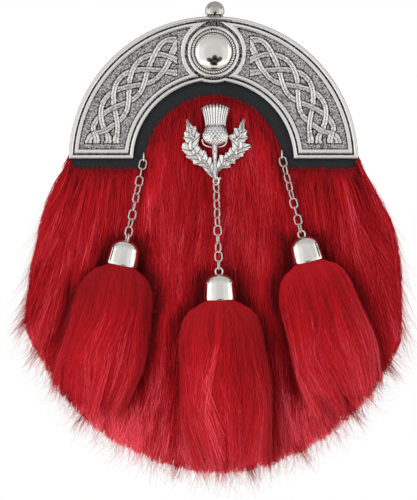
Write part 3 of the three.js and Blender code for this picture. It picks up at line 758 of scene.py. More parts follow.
x, y = radius * np.cos(angle), ARCH_Y + radius * np.sin(angle)
edge = np.minimum(np.minimum(OUTER - radius, radius - inner), y - FOOT_Y)
out_of_middle = np.hypot(x, y - MEDALLION_Y)
from_up = np.arctan2(x, y - MEDALLION_Y)
moat = MOAT + NOTCH_RISE * np.exp(-((from_up / NOTCH_TURN) ** 2))
frame_in = np.minimum(edge - RIM - GROOVE, out_of_middle - moat)
in_panel = frame_in > FRAME_WIDTH
height = CANTLE_RISE * np.maximum.reduce([
    ridge(edge, 0, RIM, 0.7),
    ridge(frame_in, 0, FRAME_WIDTH, 0.6),
    1.1 * ridge(out_of_middle, RING_INNER, RING_OUTER, 0.7),
    strands * in_panel,
])

by_frame = 0.5 * (1 - smooth(0.2, 0.6, np.abs(frame_in - FRAME_WIDTH - 0.1)))
by_strand = 1 - smooth(0.2, 0.75, np.abs(off_strand))
in_groove = (out_of_middle > moat) & (frame_in < 0)
round_frame = np.where(in_groove, GROOVE_DARK, MOAT_DARK)
outlined = np.where(frame_in > 0, np.maximum(by_strand, by_frame), round_frame)
recess = (1 - smooth(0.12, 0.6, height)) * (FIELD_DARK + LINE_DARK * outlined)
recess = np.maximum(recess, np.maximum(STRAND_DARK, BAND_DARK * bands) * in_panel)
cantle = slab(x, y, CANTLE_FACE + height, CANTLE_BACK)
add_rings("cantle_relief", cantle, PEWTER, "cast_metal", ["cantle"], recess=slab_number(recess))
print("relief height mm", round(float(height.max()), 2))

# %% [markdown]
# A rope of metal rings the medallion, and a polished dome fills it. Two twisted wires would make
# the rope on a bench. Here it is one ring whose section swells and shrinks as it goes round, on
# a slant, which looks the same with far fewer points. The dome is spun, so a lathe makes it.

# %% Medallion
ROPE_RADIUS, ROPE_THICK, ROPE_TWISTS, ROPE_LIFT = 10.85, 0.72, 54, 0.35
STEPS_A_TWIST, ROPE_SIDES = 8, 12
BOSS_RADIUS, BOSS_BASE, BOSS_LIP, BOSS_RISE = 9.9, 33.0, 0.25, 4.0
BOSS_ROWS, BOSS_SIDES = 26, 80


def rope_ring():
    """A ring of radius R whose thickness follows |cos| of the twist, on a slant round it."""
    around = circle(ROPE_TWISTS * STEPS_A_TWIST)[:, None]
    turn = circle(ROPE_SIDES)[None, :]
    thick = ROPE_THICK * (0.68 + 0.32 * np.abs(np.cos(ROPE_TWISTS * around / 2 + turn / 2)))
    reach = ROPE_RADIUS + thick * np.cos(turn)
    z = CANTLE_FACE + ROPE_LIFT + thick * np.sin(turn)
    points = np.stack([reach * np.cos(around), MEDALLION_Y + reach * np.sin(around), z], axis=-1)
    return points, 1 - smooth(0.72, 0.9, thick / ROPE_THICK)


rope, rope_hollow = rope_ring()
add_solid("medallion_rope", rope, [grid_quads(*rope.shape[:2], True, True)], PEWTER,
          "cast_metal", ["cantle"], recess=rope_hollow)

dome_turn = np.linspace(0, QUARTER, BOSS_ROWS)
dome_rise = BOSS_LIP + BOSS_RISE * np.sin(dome_turn)
dome_profile = [(AXIS, 0), *zip(BOSS_RADIUS * np.cos(dome_turn), dome_rise)]
dome = lathe(dome_profile, BOSS_SIDES)[..., [0, 2, 1]] + [0, MEDALLION_Y, BOSS_BASE]
add_rings("boss_dome", dome, PLATE, "polished_metal", ["cantle_boss"])

# %% [markdown]
# A polished ball stands on the arch, on a short cast collar. Both are turned shapes, so a
# profile makes each of them. The collar gets darker upwards, which is painted shade where the ball
# shades it.

# %% Knob
KNOB_X, KNOB_FOOT, KNOB_OUT, KNOB_SIDES = 0.7, 51.5, 31.8, 64
BALL_Y, BALL_RADIUS, BALL_SEAT, BALL_ROWS = 54.6, 5.1, 1.3, 30
COLLAR = [
    # radius, height
    (AXIS, 0), (4.2, 0), (4.4, 0.2), (4.4, 0.7), (4.1, 0.9), (3.6, 1.0), (3.6, 1.9), (AXIS, 1.9),
]

neck = lathe(COLLAR, KNOB_SIDES) + [KNOB_X, KNOB_FOOT, KNOB_OUT]
# Painted shade on the collar, darkest just under the ball.
neck_painted_shade = np.broadcast_to(np.linspace(0.6, 1, len(COLLAR))[:, None], neck.shape[:2])
add_rings("knob_neck", neck, PEWTER, "cast_metal", ["knob"], recess=neck_painted_shade)

seat_turn = math.asin((BALL_SEAT + KNOB_FOOT - BALL_Y) / BALL_RADIUS)
ball_turn = np.linspace(seat_turn, QUARTER, BALL_ROWS)
ball_profile = np.stack([BALL_RADIUS * np.cos(ball_turn), BALL_Y + BALL_RADIUS * np.sin(ball_turn)], axis=-1)
ball = lathe(ball_profile, KNOB_SIDES) + [KNOB_X, 0, KNOB_OUT]
# The ball is painted a shade darker than the caps.
add_rings("knob_ball", ball, PLATE, "polished_metal", ["knob"], dull=np.ones(ball.shape[:2]))

# %% [markdown]
# The badge is a thistle, cast in white metal: two toothed leaves, a stem with a hooked foot, a
# scaled bulb and a tuft of ribs. It could be sculpted, but each part has a rule of its own. A
# leaf is stretched between its outer and its inner edge, which are the only points that have to
# be drawn. Its relief has a rib down the middle and a slanted vein to each tooth.

# %% Thistle leaves
LEAF_THICK, LEAF_ROWS, LEAF_COLUMNS = 1.4, 180, 33
VEINS, VEIN_SLANT, FINE_VEINS = 11, 0.9, 3
# Edges of the leaves as x, y from the badge's middle, from the foot to the tip
LEFT_OUTER = [
    (-0.4, -18.9), (-1.8, -18.5), (-4.5, -16), (-6.7, -13.1), (-9.3, -11.8), (-11.6, -11.6),
    (-11.9, -9.7), (-15.7, -7.8), (-15.3, -6.4), (-17.2, -4.4), (-17.9, -2.4), (-17.3, -0.5),
    (-15.4, 0.4), (-17, 2.4), (-16.2, 3.3), (-16.6, 5.1), (-15.3, 6.9), (-15.3, 12.8),
]
LEFT_INNER = [
    (-0.2, -18.2), (-0.9, -12.9), (-1.8, -9.1), (-2.1, -7.5), (-3.9, -7.3), (-5.1, -3.7),
    (-6.7, -4.1), (-7.6, -2.3), (-8.9, -1.7), (-8.5, 0.4), (-8.1, 2.4), (-7.6, 4.5),
    (-9.4, 5.8), (-9.9, 8.7), (-11.9, 8.7), (-15.3, 12.9),
]
RIGHT_OUTER = [
    (1.2, -17.5), (1.5, -15.3), (3.4, -13.8), (5.6, -13.5), (7.8, -13.2), (8.1, -12.1),
    (7.5, -11.3), (10.4, -11), (10.8, -9.8), (10.4, -9.1), (14.8, -7.3), (14.6, -6),
    (18.3, -2.7), (18.5, -1.1), (15.4, -1.8), (14.8, -0.4), (17.2, 2.8), (16.2, 3.9),
    (16.8, 6.4), (15.2, 7.1), (15.5, 13.1),
]
RIGHT_INNER = [
    (0.2, -17.5), (0.2, -12.9), (1.5, -8.8), (2.1, -6.2), (3.3, -6.2), (4.3, -7.7),
    (5.2, -4.9), (6.4, -4.9), (7.3, -2.5), (8.6, -2.3), (8.3, 0.4), (7, 2.4),
    (6.1, 4), (9.3, 4.6), (9.4, 7.7), (11.9, 7.7), (13.1, 10.6), (15.5, 13.2),
]


def even(points, count):
    """The same run of points, resampled at equal steps of its length."""
    points = np.asarray(points, dtype=float)
    travel = travelled(points)
    steps = np.linspace(0, travel[-1], count)
    return np.stack([np.interp(steps, travel, points[:, axis]) for axis in (0, 1)], axis=-1)


def leaf(outer, inner):
    """Rows stretched from the outer to the inner edge, with a midrib and slanted veins cut in."""
    share = np.linspace(0, 1, LEAF_COLUMNS)[None, :, None]
    flat = even(outer, LEAF_ROWS)[:, None] * (1 - share) + even(inner, LEAF_ROWS)[:, None] * share
    off_rib = np.abs(2 * share[..., 0] - 1)
    along = np.linspace(0, 1, LEAF_ROWS)[:, None]
    rib = np.exp(-((off_rib / 0.09) ** 2))
    beside = np.exp(-(((off_rib - 0.2) / 0.07) ** 2))
    slanted = VEINS * along - VEIN_SLANT * off_rib
    phase, fine = [np.abs((slanted * times) % 1 - 0.5) * 2 for times in (1, FINE_VEINS)]
    lobe = smooth(0, 0.55, phase) * (1 - 0.5 * smooth(0.7, 1, phase))
    open_part = smooth(0.12, 0.3, off_rib)
    body = LEAF_THICK * (0.5 + 0.5 * rounded(1 - off_rib, 0.3))
    body = body + 0.5 * smooth(0, 0.4, along) * (1 - off_rib)
    relief = body + 0.5 * rib - 0.3 * beside + 0.55 * (lobe - 0.5) * open_part
    vein = (1 - smooth(0.04, 0.3, phase)) + 0.45 * (1 - smooth(0.05, 0.4, fine))
    hollow = np.clip(0.76 * vein * open_part + 0.6 * beside, 0, 0.92)
    return slab(flat[..., 0], flat[..., 1], relief, 0), slab_number(hollow)


leaves = [leaf(LEFT_OUTER, LEFT_INNER), leaf(RIGHT_OUTER, RIGHT_INNER)]
print("leaf thickness mm", [round(float(points[..., 2].max()), 1) for points, _ in leaves])

# %% [markdown]
# The thistle's head is a bulb of scales under a tuft. The tuft is a widening cone with ribs
# round it and an arched saw edge at its top. The bulb is a turned egg, and its scales are the
# product of two slanted waves, which cross in diamonds. Both are flattened from front to back.

# %% Thistle head
CROWN_SIDES, CROWN_ROWS, CROWN_RIBS = 260, 26, 13
CROWN_Y, CROWN_HIGH, HEAD_Z = 8.4, 11.3, 1.8
BULB_SIDES, BULB_ROWS, BULB_FLAT = 150, 60, 0.64
SCALES_ROUND, SCALES_UP = 10, 17
BULB_PROFILE = [
    # radius, height
    (0.1, -1.75), (1.8, -1.6), (4.2, -0.5), (6.0, 1.4), (6.6, 3.5), (6.0, 5.7), (5.3, 7.7), (5.0, 9.2),
]


def crown():
    """The tuft: ribs round a widening cone, with an arched saw edge at the top."""
    turn = circle(CROWN_SIDES)[None, :]
    rise = np.concatenate([np.linspace(0, 1, CROWN_ROWS), [0.97, 0.9]])[:, None]
    taper = np.concatenate([np.ones(CROWN_ROWS), [0.8, 0.3]])[:, None]
    rib = np.abs(np.cos(CROWN_RIBS * turn))
    wide = (5.3 + 2.1 * rise**1.9) * taper
    x = wide * np.cos(turn) * (0.96 + 0.04 * rib) + 0 * rise
    z = HEAD_Z + (0.5 * wide * np.sin(turn)) + 0.6 * (rib - 0.5) * np.sin(turn) * taper
    arch = 1 - 0.2 * np.cos(turn) ** 2
    y = CROWN_Y + CROWN_HIGH * rise * arch + 1.8 * (rib - 0.7) * rise**8
    # Dark between the ribs is the blackening in their hollows; dark at the tuft's foot is painted shade
    # where the bulb meets it.
    hollow = 0.9 - smooth(0.15, 0.6, rib) + 0.5 * smooth(0.15, 0, rise)
    # The top rows are darker too.
    hollow = hollow + (1.2 - 0.6 * rib) * smooth(0.82, 0.96, rise)
    return np.stack([x, y, z], axis=-1), np.clip(hollow + 0 * x, 0, 0.95)


def bulb():
    """A turned egg with scales: two slanted waves multiplied, pushed out from the axis."""
    rings = lathe(spline(BULB_PROFILE, BULB_ROWS), BULB_SIDES)
    turn = SCALES_ROUND * circle(BULB_SIDES)[None, :]
    rise = np.linspace(0, 1, BULB_ROWS)[:, None]
    scale = np.abs(np.sin(turn + SCALES_UP * rise) * np.sin(turn - SCALES_UP * rise))
    swell = 1 + 0.06 * (scale - 0.4)
    x, y, z = np.moveaxis(rings, -1, 0)
    points = np.stack([x * swell, y, z * swell * BULB_FLAT], axis=-1)
    # Painted shade on the bulb's flanks and at its top under the tuft; the dark between the scales is the
    # blackening in their hollows.
    side_shade = smooth(0.45, 0.85, rise) * np.cos(circle(BULB_SIDES))[None, :] ** 2
    dark = np.clip(0.85 - 2.6 * scale, 0, 0.85) + 0.6 * side_shade + 0.4 * smooth(0.8, 0.95, rise)
    return points + [0, 0, HEAD_Z], np.clip(dark, 0, 1)


head = [crown(), bulb()]
print("tuft and bulb points", [points[..., 0].size for points, _ in head])

# %% [markdown]
# The stem bends into a hook at its foot. Two thin rims hold the bulb, a post behind goes through
# the fur to the leather, and a small ring at the foot, the bail, carries the middle chain. All
# of these are wires, apart from the post. In the casting they are one metal, so the badge is
# joined into one piece.

# %% Thistle stem
STEM_STEPS, STEM_SIDES = 60, 20
STEM_LINE = [
    # x, y, half-width
    (-0.3, -0.5, 1.6), (-0.3, -6, 1.3), (-0.2, -12, 0.9), (-0.3, -16, 0.9),
    (0.4, -18.6, 1.4), (1.8, -19, 1.1), (2.8, -18.4, 0.5),
]
CUP_LINE = [
    # x, y, z
    (-7.0, 1.6, 1.8), (-6.1, -0.9, 2.6), (-4.2, -2.0, 3.0), (-2.0, -2.5, 3.0),
]
CUP_RADIUS, CUP_STEPS, CUP_SIDES = 0.32, 30, 10
POST_RADIUS, POST_LENGTH, POST_SIDES, POST_AT = 1.5, 9.5, 24, (0, 4.3, -8.9)
BAIL_RADIUS, BAIL_WIRE, BAIL_STEPS, BAIL_SIDES = 2, 0.45, 40, 12
BAIL_AT, BAIL_LEAN = (0.4, -20.2, 1.8), math.radians(135)


def stem():
    """Flattened rings along the stem's bent line, sinking between the leaves, with painted shade on its
    flanks.
    """
    line = spline(STEM_LINE, STEM_STEPS)
    path = np.concatenate([line[:, :2], 2.2 - 1.5 * smooth(-4, -9, line[:, 1:2])], axis=1)
    ring = wire(path, 1.0, STEM_SIDES, False) - path[:, None]
    flank = np.abs(np.cos(circle(STEM_SIDES)))[None, :]
    # Painted shade along the stem's flanks.
    hollow = 0.8 * np.exp(-(((flank - 0.6) / 0.14) ** 2)) + 0 * line[:, :1]
    return path[:, None] + ring * line[:, 2, None, None] * [1, 1, 0.8], hollow


def bright(points):
    """A part of the badge with no dark hollows."""
    return points, np.zeros(points.shape[:2])


def cup(side):
    """A thin rim of wire under the bulb, from the leaf to the stem."""
    return bright(wire(spline(CUP_LINE, CUP_STEPS) * [side, 1, 1], CUP_RADIUS, CUP_SIDES, False))


def post():
    """A plain round bar that runs back from behind the bulb."""
    profile = [(AXIS, 0), (POST_RADIUS, 0), (POST_RADIUS, POST_LENGTH), (AXIS, POST_LENGTH)]
    return bright(lathe(profile, POST_SIDES)[..., [0, 2, 1]] + POST_AT)


def bail():
    """A ring of wire that stands at a slant to the front."""
    turn = circle(BAIL_STEPS)
    across = BAIL_RADIUS * np.cos(turn)
    path = np.stack([
        BAIL_AT[0] + across * math.cos(BAIL_LEAN),
        BAIL_AT[1] + BAIL_RADIUS * np.sin(turn),
        BAIL_AT[2] - across * math.sin(BAIL_LEAN),
    ], axis=-1)
    return bright(wire(path, BAIL_WIRE, BAIL_SIDES, True))


print("stem foot at", np.round(stem()[0][-1].mean(axis=0), 1))

# %% The badge
BADGE_AT, BADGE_SHARP = np.array([1.0, -14.7, 39.8]), 45
LEFT_CUP, RIGHT_CUP = 1, -0.86
badge_parts = [*leaves, *head, stem(), cup(LEFT_CUP), cup(RIGHT_CUP), post()]
badge_shapes = [(points, tube_faces(*points.shape[:2])) for points, _ in badge_parts]
badge_parts.append(bail())
badge_shapes.append((badge_parts[-1][0], [grid_quads(BAIL_STEPS, BAIL_SIDES, True, True)]))
badge_points, badge_faces = joined(badge_shapes)
# The badge's dark number: blackened hollows, and painted shade on the stem, the bulb and the tuft's foot.
badge_hollow_and_shade = np.concatenate([hollow.ravel() for _, hollow in badge_parts])
add_piece("thistle", badge_points + BADGE_AT, badge_faces, BADGE_METAL, "badge_metal",
          ["thistle_badge"], sharp=BADGE_SHARP, recess=badge_hollow_and_shade)

# %% [markdown]
# Each drop is a chain, a cap and a tassel. A chain link is bent from round wire, so a circle is
# carried round a stadium. Links turn about the chain's line, each nearly a quarter turn from the
# last, and the chain leans out over the fur. An Array modifier could copy the links, but all with
# the same turn. Here all links of a chain are placed with one array of turns.

# %% Drops
DROPS = {
    "left": {"at": (-36.6, -23.4, 32.4), "lean": -11.5, "rake": 15, "hang": 3, "size": 1.0,
             "outer": -1, "length": 74, "sway": -2.0,
             "turns": [0, 90, 10, -50, 40, 100, 10, -60, 20]},
    "centre": {"at": (1.4, -35.6, 41.6), "lean": 1.8, "rake": 15, "hang": 2, "size": 1.1,
               "outer": 0, "length": 88, "sway": 3.5,
               "turns": [45, -45, 45, -45, 55, 0, 75, -45, 10, 80]},
    "right": {"at": (35.9, -22.0, 32.4), "lean": 14, "rake": 15, "hang": 3, "size": 1.0,
              "outer": 1, "length": 76, "sway": 2.0,
              "turns": [10, -60, 45, -45, 60, -5, 85, -10, 70]},
}


def turn_x(degrees):
    """A turn about the x axis."""
    c, s = math.cos(math.radians(degrees)), math.sin(math.radians(degrees))
    return np.array([[1, 0, 0], [0, c, -s], [0, s, c]])


def turn_z(degrees):
    """A turn about the z axis."""
    c, s = math.cos(math.radians(degrees)), math.sin(math.radians(degrees))
    return np.array([[c, -s, 0], [s, c, 0], [0, 0, 1]])


def turn_y(degrees):
    """Turns about the chain's line, one matrix for each angle."""
    c, s = np.cos(np.radians(degrees)), np.sin(np.radians(degrees))
    o, i = 0 * c, 0 * c + 1
    return np.moveaxis(np.array([[c, o, s], [o, i, o], [-s, o, c]]), -1, 0)


print("links", {side: len(drop["turns"]) for side, drop in DROPS.items()})

# %% Chains
WIRE_RADIUS, LINK_WIRE = 0.47, 0.9
LINK_WIDTH, LINK_INSIDE, LINK_PITCH, LINK_REACH = 4.5, 4.45, 4.67, 2.675
# The links are painted a shade darker than the caps.
LINK_STEPS, LINK_SIDES, LINK_PAINTED_SHADE = 40, 10, 0.8


def stadium(width, length, steps):
    """The middle line of a link: two half circles joined by straights."""
    turn = circle(steps) + np.pi / steps
    bend = width / 2
    y = bend * np.sin(turn) + np.sign(np.sin(turn)) * (length / 2 - bend)
    return np.stack([bend * np.cos(turn), y, 0 * turn], axis=-1)


def chain_rings(turns):
    """Every link's rings: the stadium turned about y and moved down by its number of pitches."""
    middle_line = stadium(LINK_WIDTH - LINK_WIRE, LINK_INSIDE + LINK_WIRE, LINK_STEPS)
    link = wire(middle_line, WIRE_RADIUS, LINK_SIDES, True)
    placed = np.einsum("nij,abj->nabi", turn_y(np.array(turns)), link)
    drop = -LINK_REACH - LINK_PITCH * np.arange(len(turns))
    return placed + np.stack([0 * drop, drop, 0 * drop], axis=-1)[:, None, None]


link_faces = [grid_quads(LINK_STEPS, LINK_SIDES, True, True)]
for side, drop in DROPS.items():
    drop["chain_axes"] = turn_z(drop["lean"]) @ turn_x(-drop["rake"])
    drop["hang_axes"] = turn_z(drop["lean"]) @ turn_x(-drop["hang"])
    length = 2 * LINK_REACH + LINK_PITCH * (len(drop["turns"]) - 1)
    drop["end"] = np.array(drop["at"]) + drop["chain_axes"] @ [0, -length, 0]
    links = chain_rings(drop["turns"]) @ drop["chain_axes"].T + drop["at"]
    points, face_sets = joined([(link, link_faces) for link in links])
    add_piece(f"links_{side}", points, face_sets, PLATE, "polished_metal", [f"chain_{side}"],
              dull=np.full(len(points), LINK_PAINTED_SHADE))
    print(side, "chain ends at", np.round(drop["end"], 1))

# %% [markdown]
# The outer chains hang from staples, half rings of the same wire that are driven into the
# leather beside the cantle's feet. They hardly show, so each is one plain arc.

# %% Staples
STAPLE_RADIUS, STAPLE_ABOVE, STAPLE_STEPS, STAPLE_SIDES = 3.0, 1.248, 25, 12
for side in ("left", "right"):
    x0, y0, _ = DROPS[side]["at"]
    turn = np.linspace(-np.pi / 2, np.pi / 2, STAPLE_STEPS)
    arch = np.stack([0 * turn, STAPLE_RADIUS * np.sin(turn), STAPLE_RADIUS * np.cos(turn)], axis=-1)
    foot = [x0, y0 + STAPLE_ABOVE, PANEL_FRONT + GAP]
    rings = wire(arch + foot, WIRE_RADIUS, STAPLE_SIDES, False)
    add_rings(f"staple_{side}", rings, PLATE, "polished_metal", [f"chain_staple_{side}"])

# %% [markdown]
# The caps are spun from thin sheet and plated: a dome on a slightly flared barrel with a rolled
# lip, and a wire eye on top. A cylinder with a bevel could come close, but the flare and the lip
# are what catch the light. The lathe makes each one from the same profile, and the drop's own
# axes lean it.

# %% Caps
EYE_RADIUS, EYE_Y, EYE_STEPS, EYE_SIDES = 1.9, -0.7, 36, 12
CAP_STRETCH, CAP_SIDES, CAP_SHARP = (1.13, 1, 0.92), 72, 50
CAP_CROWN, CAP_SHOULDER, CAP_BOTTOM, CAP_NECK = -1.8, -7.9, -16.0, 6.85
shoulder_turn = np.linspace(0, QUARTER, 22)
shoulder_y = CAP_SHOULDER + (CAP_CROWN - CAP_SHOULDER) * np.sin(shoulder_turn)
cap_profile = [
    # radius, height
    (AXIS, CAP_BOTTOM + 1.6), (6.6, CAP_BOTTOM + 1.6), (6.8, CAP_BOTTOM + 0.1), (7.1, CAP_BOTTOM),
    (7.3, CAP_BOTTOM + 0.15), (7.42, CAP_BOTTOM + 0.5), (7.48, CAP_BOTTOM + 1.1),
    (7.46, CAP_BOTTOM + 1.9), (7.3, CAP_BOTTOM + 3.8), (7.08, CAP_BOTTOM + 6.2),
    *zip(CAP_NECK * np.cos(shoulder_turn), shoulder_y),
]
eye_turn = circle(EYE_STEPS)
eye_ring = EYE_RADIUS * np.stack([np.cos(eye_turn), np.sin(eye_turn), 0 * eye_turn], axis=-1)
eye_faces = [grid_quads(EYE_STEPS, EYE_SIDES, True, True)]
for side, drop in DROPS.items():
    cap = lathe(cap_profile, CAP_SIDES) * CAP_STRETCH
    across_link = turn_y(np.array([drop["turns"][-1] + 90.0]))[0]
    eye = wire(eye_ring @ across_link.T + [0, EYE_Y, 0], WIRE_RADIUS, EYE_SIDES, True)
    points, face_sets = joined([(cap, tube_faces(*cap.shape[:2])), (eye, eye_faces)])
    points = points @ drop["hang_axes"].T + drop["end"]
    add_piece(f"cap_{side}", points, face_sets, PLATE, "polished_metal", [f"tassel_cap_{side}"],
              sharp=CAP_SHARP)

# %% [markdown]
# Hair is the heart of this object. A strand is a narrow ribbon that thins to its tip, and each
# ribbon is rolled a little about its own line so that it catches the light in its own way.
# Strands gather in locks: a lock has one path, and its strands close in on it towards their
# tips. Blender's own hair curves could grow them, but ribbons are plain meshes that any program
# can open. Whole arrays of strands are made at once.

# %% Strands


def ribbons(paths, normals, widths, rolls):
    """Two points at each step of each path, apart along a side that is rolled from the normal."""
    along = unit(np.gradient(paths, axis=1))
    side = unit(np.cross(along, normals))
    face = np.cross(side, along)
    side = side * np.cos(rolls)[:, None, None] + face * np.sin(rolls)[:, None, None]
    offset = side * widths[..., None] / 2
    return np.stack([paths - offset, paths + offset], axis=2)


def ribbon_quads(count, steps):
    """Quads between the steps of every ribbon."""
    start = (np.arange(count)[:, None] * steps + np.arange(steps - 1)[None, :]) * 2
    return np.stack([start, start + 1, start + 3, start + 2], axis=-1).reshape(-1, 4)


def add_hair(name, paths, normals, widths, rolls, shade, material, slot, nodes):
    """Strands as one piece, with a shade on both points of each step."""
    points = ribbons(paths, normals, widths, rolls)
    shade = np.repeat(np.clip(shade, 0, 1)[..., None], 2, axis=2)
    add_piece(name, points, [ribbon_quads(*paths.shape[:2])], material, slot, nodes, shade=shade)


print("two ribbons of 4 steps have", len(ribbon_quads(2, 4)), "quads")

# %% [markdown]
# The fur covers the front panel below the cantle. It is combed straight down the middle and
# fans out to the sides and the lower corners. Combing it by hand in Sculpt Mode is usual, but a
# formula for the flow can be matched to the picture. The outline is measured at rows of heights.
# A strand starts at the hide, lies down along the flow, and stops at its full length or where it
# meets the outline, so the edge keeps its form and still looks soft.

# %% The coat's form
FUR_ROWS = np.array([
    # y, left, right
    (-19, -76, 76.5), (-24.7, -79.5, 79.5), (-31, -83.2, 82.7), (-37.3, -85.3, 85.8),
    (-43.6, -86.9, 89), (-49.9, -89, 91.6), (-56.2, -90.6, 94.3), (-68.8, -93.2, 96.3),
    (-81.4, -95.8, 97.9), (-94, -97.4, 98.2), (-106, -98.4, 98.4), (-112.9, -97.8, 98.4),
    (-119.2, -95, 97.6), (-125.5, -92.1, 95.3), (-131.8, -88.4, 91.6), (-138.1, -85, 88),
    (-144.4, -80.6, 84.4), (-150.7, -75.4, 79), (-157, -69.6, 73), (-163.3, -62.8, 65.8),
    (-169.6, -53.3, 57.5), (-175.9, -41.7, 45.9), (-182.2, -27, 32), (-187, -9, 15),
])
FUR_EDGE_RADIUS, FUR_FOOT_Y, FUR_CLEAR, FUR_OPEN_Y = 34.8, -27.9, 0.9, 50
COAT_EDGE, COAT_RISE, COAT_SOFT, OUTLINE_POINTS = 4.5, 3.5, 18, 800


def outline_reach():
    """Directions from the coat's centre, in degrees, and how far its outline is in each."""
    down, left, right = FUR_ROWS.T
    across = np.concatenate([left[:1] - 2, left, right[::-1], right[:1] + 2])
    up = np.concatenate([[FUR_OPEN_Y], down, down[::-1], [FUR_OPEN_Y]])
    run = even(np.stack([across, up], axis=-1), OUTLINE_POINTS) - CENTRE
    degrees = np.degrees(np.arctan2(run[:, 1], run[:, 0])) % 360
    order = np.argsort(degrees)
    return degrees[order], np.linalg.norm(run, axis=1)[order]


REACH_AT, REACH = outline_reach()


def inside_outline(x, y):
    """Distance in from the outline, towards the centre."""
    degrees = np.degrees(np.arctan2(y - CENTRE[1], x - CENTRE[0])) % 360
    return np.interp(degrees, REACH_AT, REACH, period=360) - np.hypot(x - CENTRE[0], y - CENTRE[1])


def below_top(x, y):
    """Distance in from the coat's top edge, which follows the leather border."""
    under_arch = FUR_EDGE_RADIUS - np.hypot(x, np.maximum(y - ARCH_Y, 0))
    shoulder = FUR_FOOT_Y + 6 * smooth(71, 77, np.abs(x))
    return np.maximum(under_arch, shoulder - y)


def coat_depth(x, y):
    """The coat's thickness: about 4.5 mm at its edges, 8 mm further in."""
    inset = np.minimum(inside_outline(x, y), below_top(x, y))
    return COAT_EDGE + COAT_RISE * rounded(inset, COAT_SOFT)


def hide(x, y):
    """How far out the hide lies that the fur grows from."""
    return PANEL_FRONT + FUR_CLEAR + belly(x, y)


def flow_degrees(x, y):
    """The combed direction, in degrees away from straight down."""
    fan = 11 + 15 * smooth(-45, -160, y)
    shoulder = 16 * smooth(-48, -24, y) * smooth(60, 77, np.abs(x)) * np.sign(x)
    edge = 17 * (1 - smooth(2, 26, inside_outline(x, y))) * smooth(-130, -105, y) * np.sign(x)
    return fan * x / 92 + np.where(np.abs(shoulder) > np.abs(edge), shoulder, edge)


print("coat reaches", round(float(REACH.max()), 1), "mm from its centre")

# %% [markdown]
# A tassel is a bundle of horsehair bound inside its cap. The hair springs out under the lip,
# bends over in a dome and hangs. Rows of widths below the cap give its form, and a slow wave and
# a sway keep the three from looking alike. It could all be strands, but a plain red core takes far
# fewer triangles than the hair that lies too deep to see.

# %% Tassel form
TASSEL_ALONG = np.array([-1.0, 0.4, 2, 4, 7, 10, 15, 20, 30, 44, 56, 66, 76, 90])
TASSEL_WIDE = np.array([6.2, 7.2, 11.2, 14.1, 16.7, 18.2, 19.4, 20, 20.5, 21, 21.2, 21, 20.5, 19.1])
TASSEL_DEEP = np.array([6.0, 6.4, 8.2, 9.4, 10.2, 10.8, 11.2, 11.4, 11.4, 10.6, 8.8, 6.6, 4.6, 2.4])
CORE_ROWS, CORE_SIDES, CORE_SHARE = 24, 48, 0.84
PAST_OUTLINE = 2.5


def tassel_point(along, turn, share):
    """A point below the cap: ellipse half-widths at this length, times the share of the way out."""
    wide = np.interp(along, TASSEL_ALONG, TASSEL_WIDE) * share
    deep = np.interp(along, TASSEL_ALONG, TASSEL_DEEP) * share
    places = (wide * np.cos(turn), CAP_BOTTOM - along, deep * np.sin(turn))
    return np.stack(np.broadcast_arrays(*places), axis=-1)


def hung(points, drop):
    """Points below a cap, spread to the drop's outer side, swayed, and placed at its chain's end."""
    stretch = np.array([drop["size"], 1 + 0.3 * (drop["size"] - 1), drop["size"]])
    points = points * stretch
    along = CAP_BOTTOM - points[..., 1]
    outside = np.maximum(points[..., 0] * drop["outer"], 0)
    spread = 0.12 * drop["outer"] * outside * smooth(3, 40, along)
    wave = 1.5 * np.sin(along / 9 + points[..., 0] / 8) * smooth(8, 40, along)
    across = spread + wave + drop["sway"] * smooth(35, 90, along)
    points = points + across[..., None] * [1, 0, 0]
    return points @ drop["hang_axes"].T + drop["end"]


def tassel_room(drop, turn, share):
    """How far down a strand can go before it is well outside the fur's outline."""
    along = np.linspace(30, 100, 36)[None, :]
    line = hung(tassel_point(along, turn[:, None], share[:, None]), drop)
    out = inside_outline(line[..., 0], line[..., 1]) < -PAST_OUTLINE
    out[:, -1] = True
    return along[0, np.argmax(out, axis=1)]


def tassel_core():
    """Rings inside the strands, closed to a blunt end."""
    along = np.concatenate([np.linspace(-1, 48, CORE_ROWS), [52, 54, 55]])[:, None]
    shrink = np.concatenate([np.full(CORE_ROWS, CORE_SHARE), [0.66, 0.4, 0.05]])[:, None]
    return tassel_point(along, circle(CORE_SIDES)[None, :], shrink)


print("a tassel is", 2 * TASSEL_WIDE.max(), "mm wide and", 2 * TASSEL_DEEP.max(), "mm deep")

# %% [markdown]
# The strands keep their own angle round the bundle and their own depth in it. They gather in
# locks, and narrow strips of a lock share a shade, which draws the fine streaks. A few strays
# stand off from the rest. A strand ends at its lock's length or just past the fur's outline.

# %% Tassel strands
TASSEL_STRANDS, TASSEL_LOCKS, TASSEL_STRIPS = 5000, 34, 280
STEPS_DOWN = np.array([0, 0.03, 0.075, 0.14, 0.25, 0.45, 0.72, 1.0])
TASSEL_START, TASSEL_WIDTH, STRAY_WIDTH, DARKEST = 0.8, 0.38, 0.17, 0.22


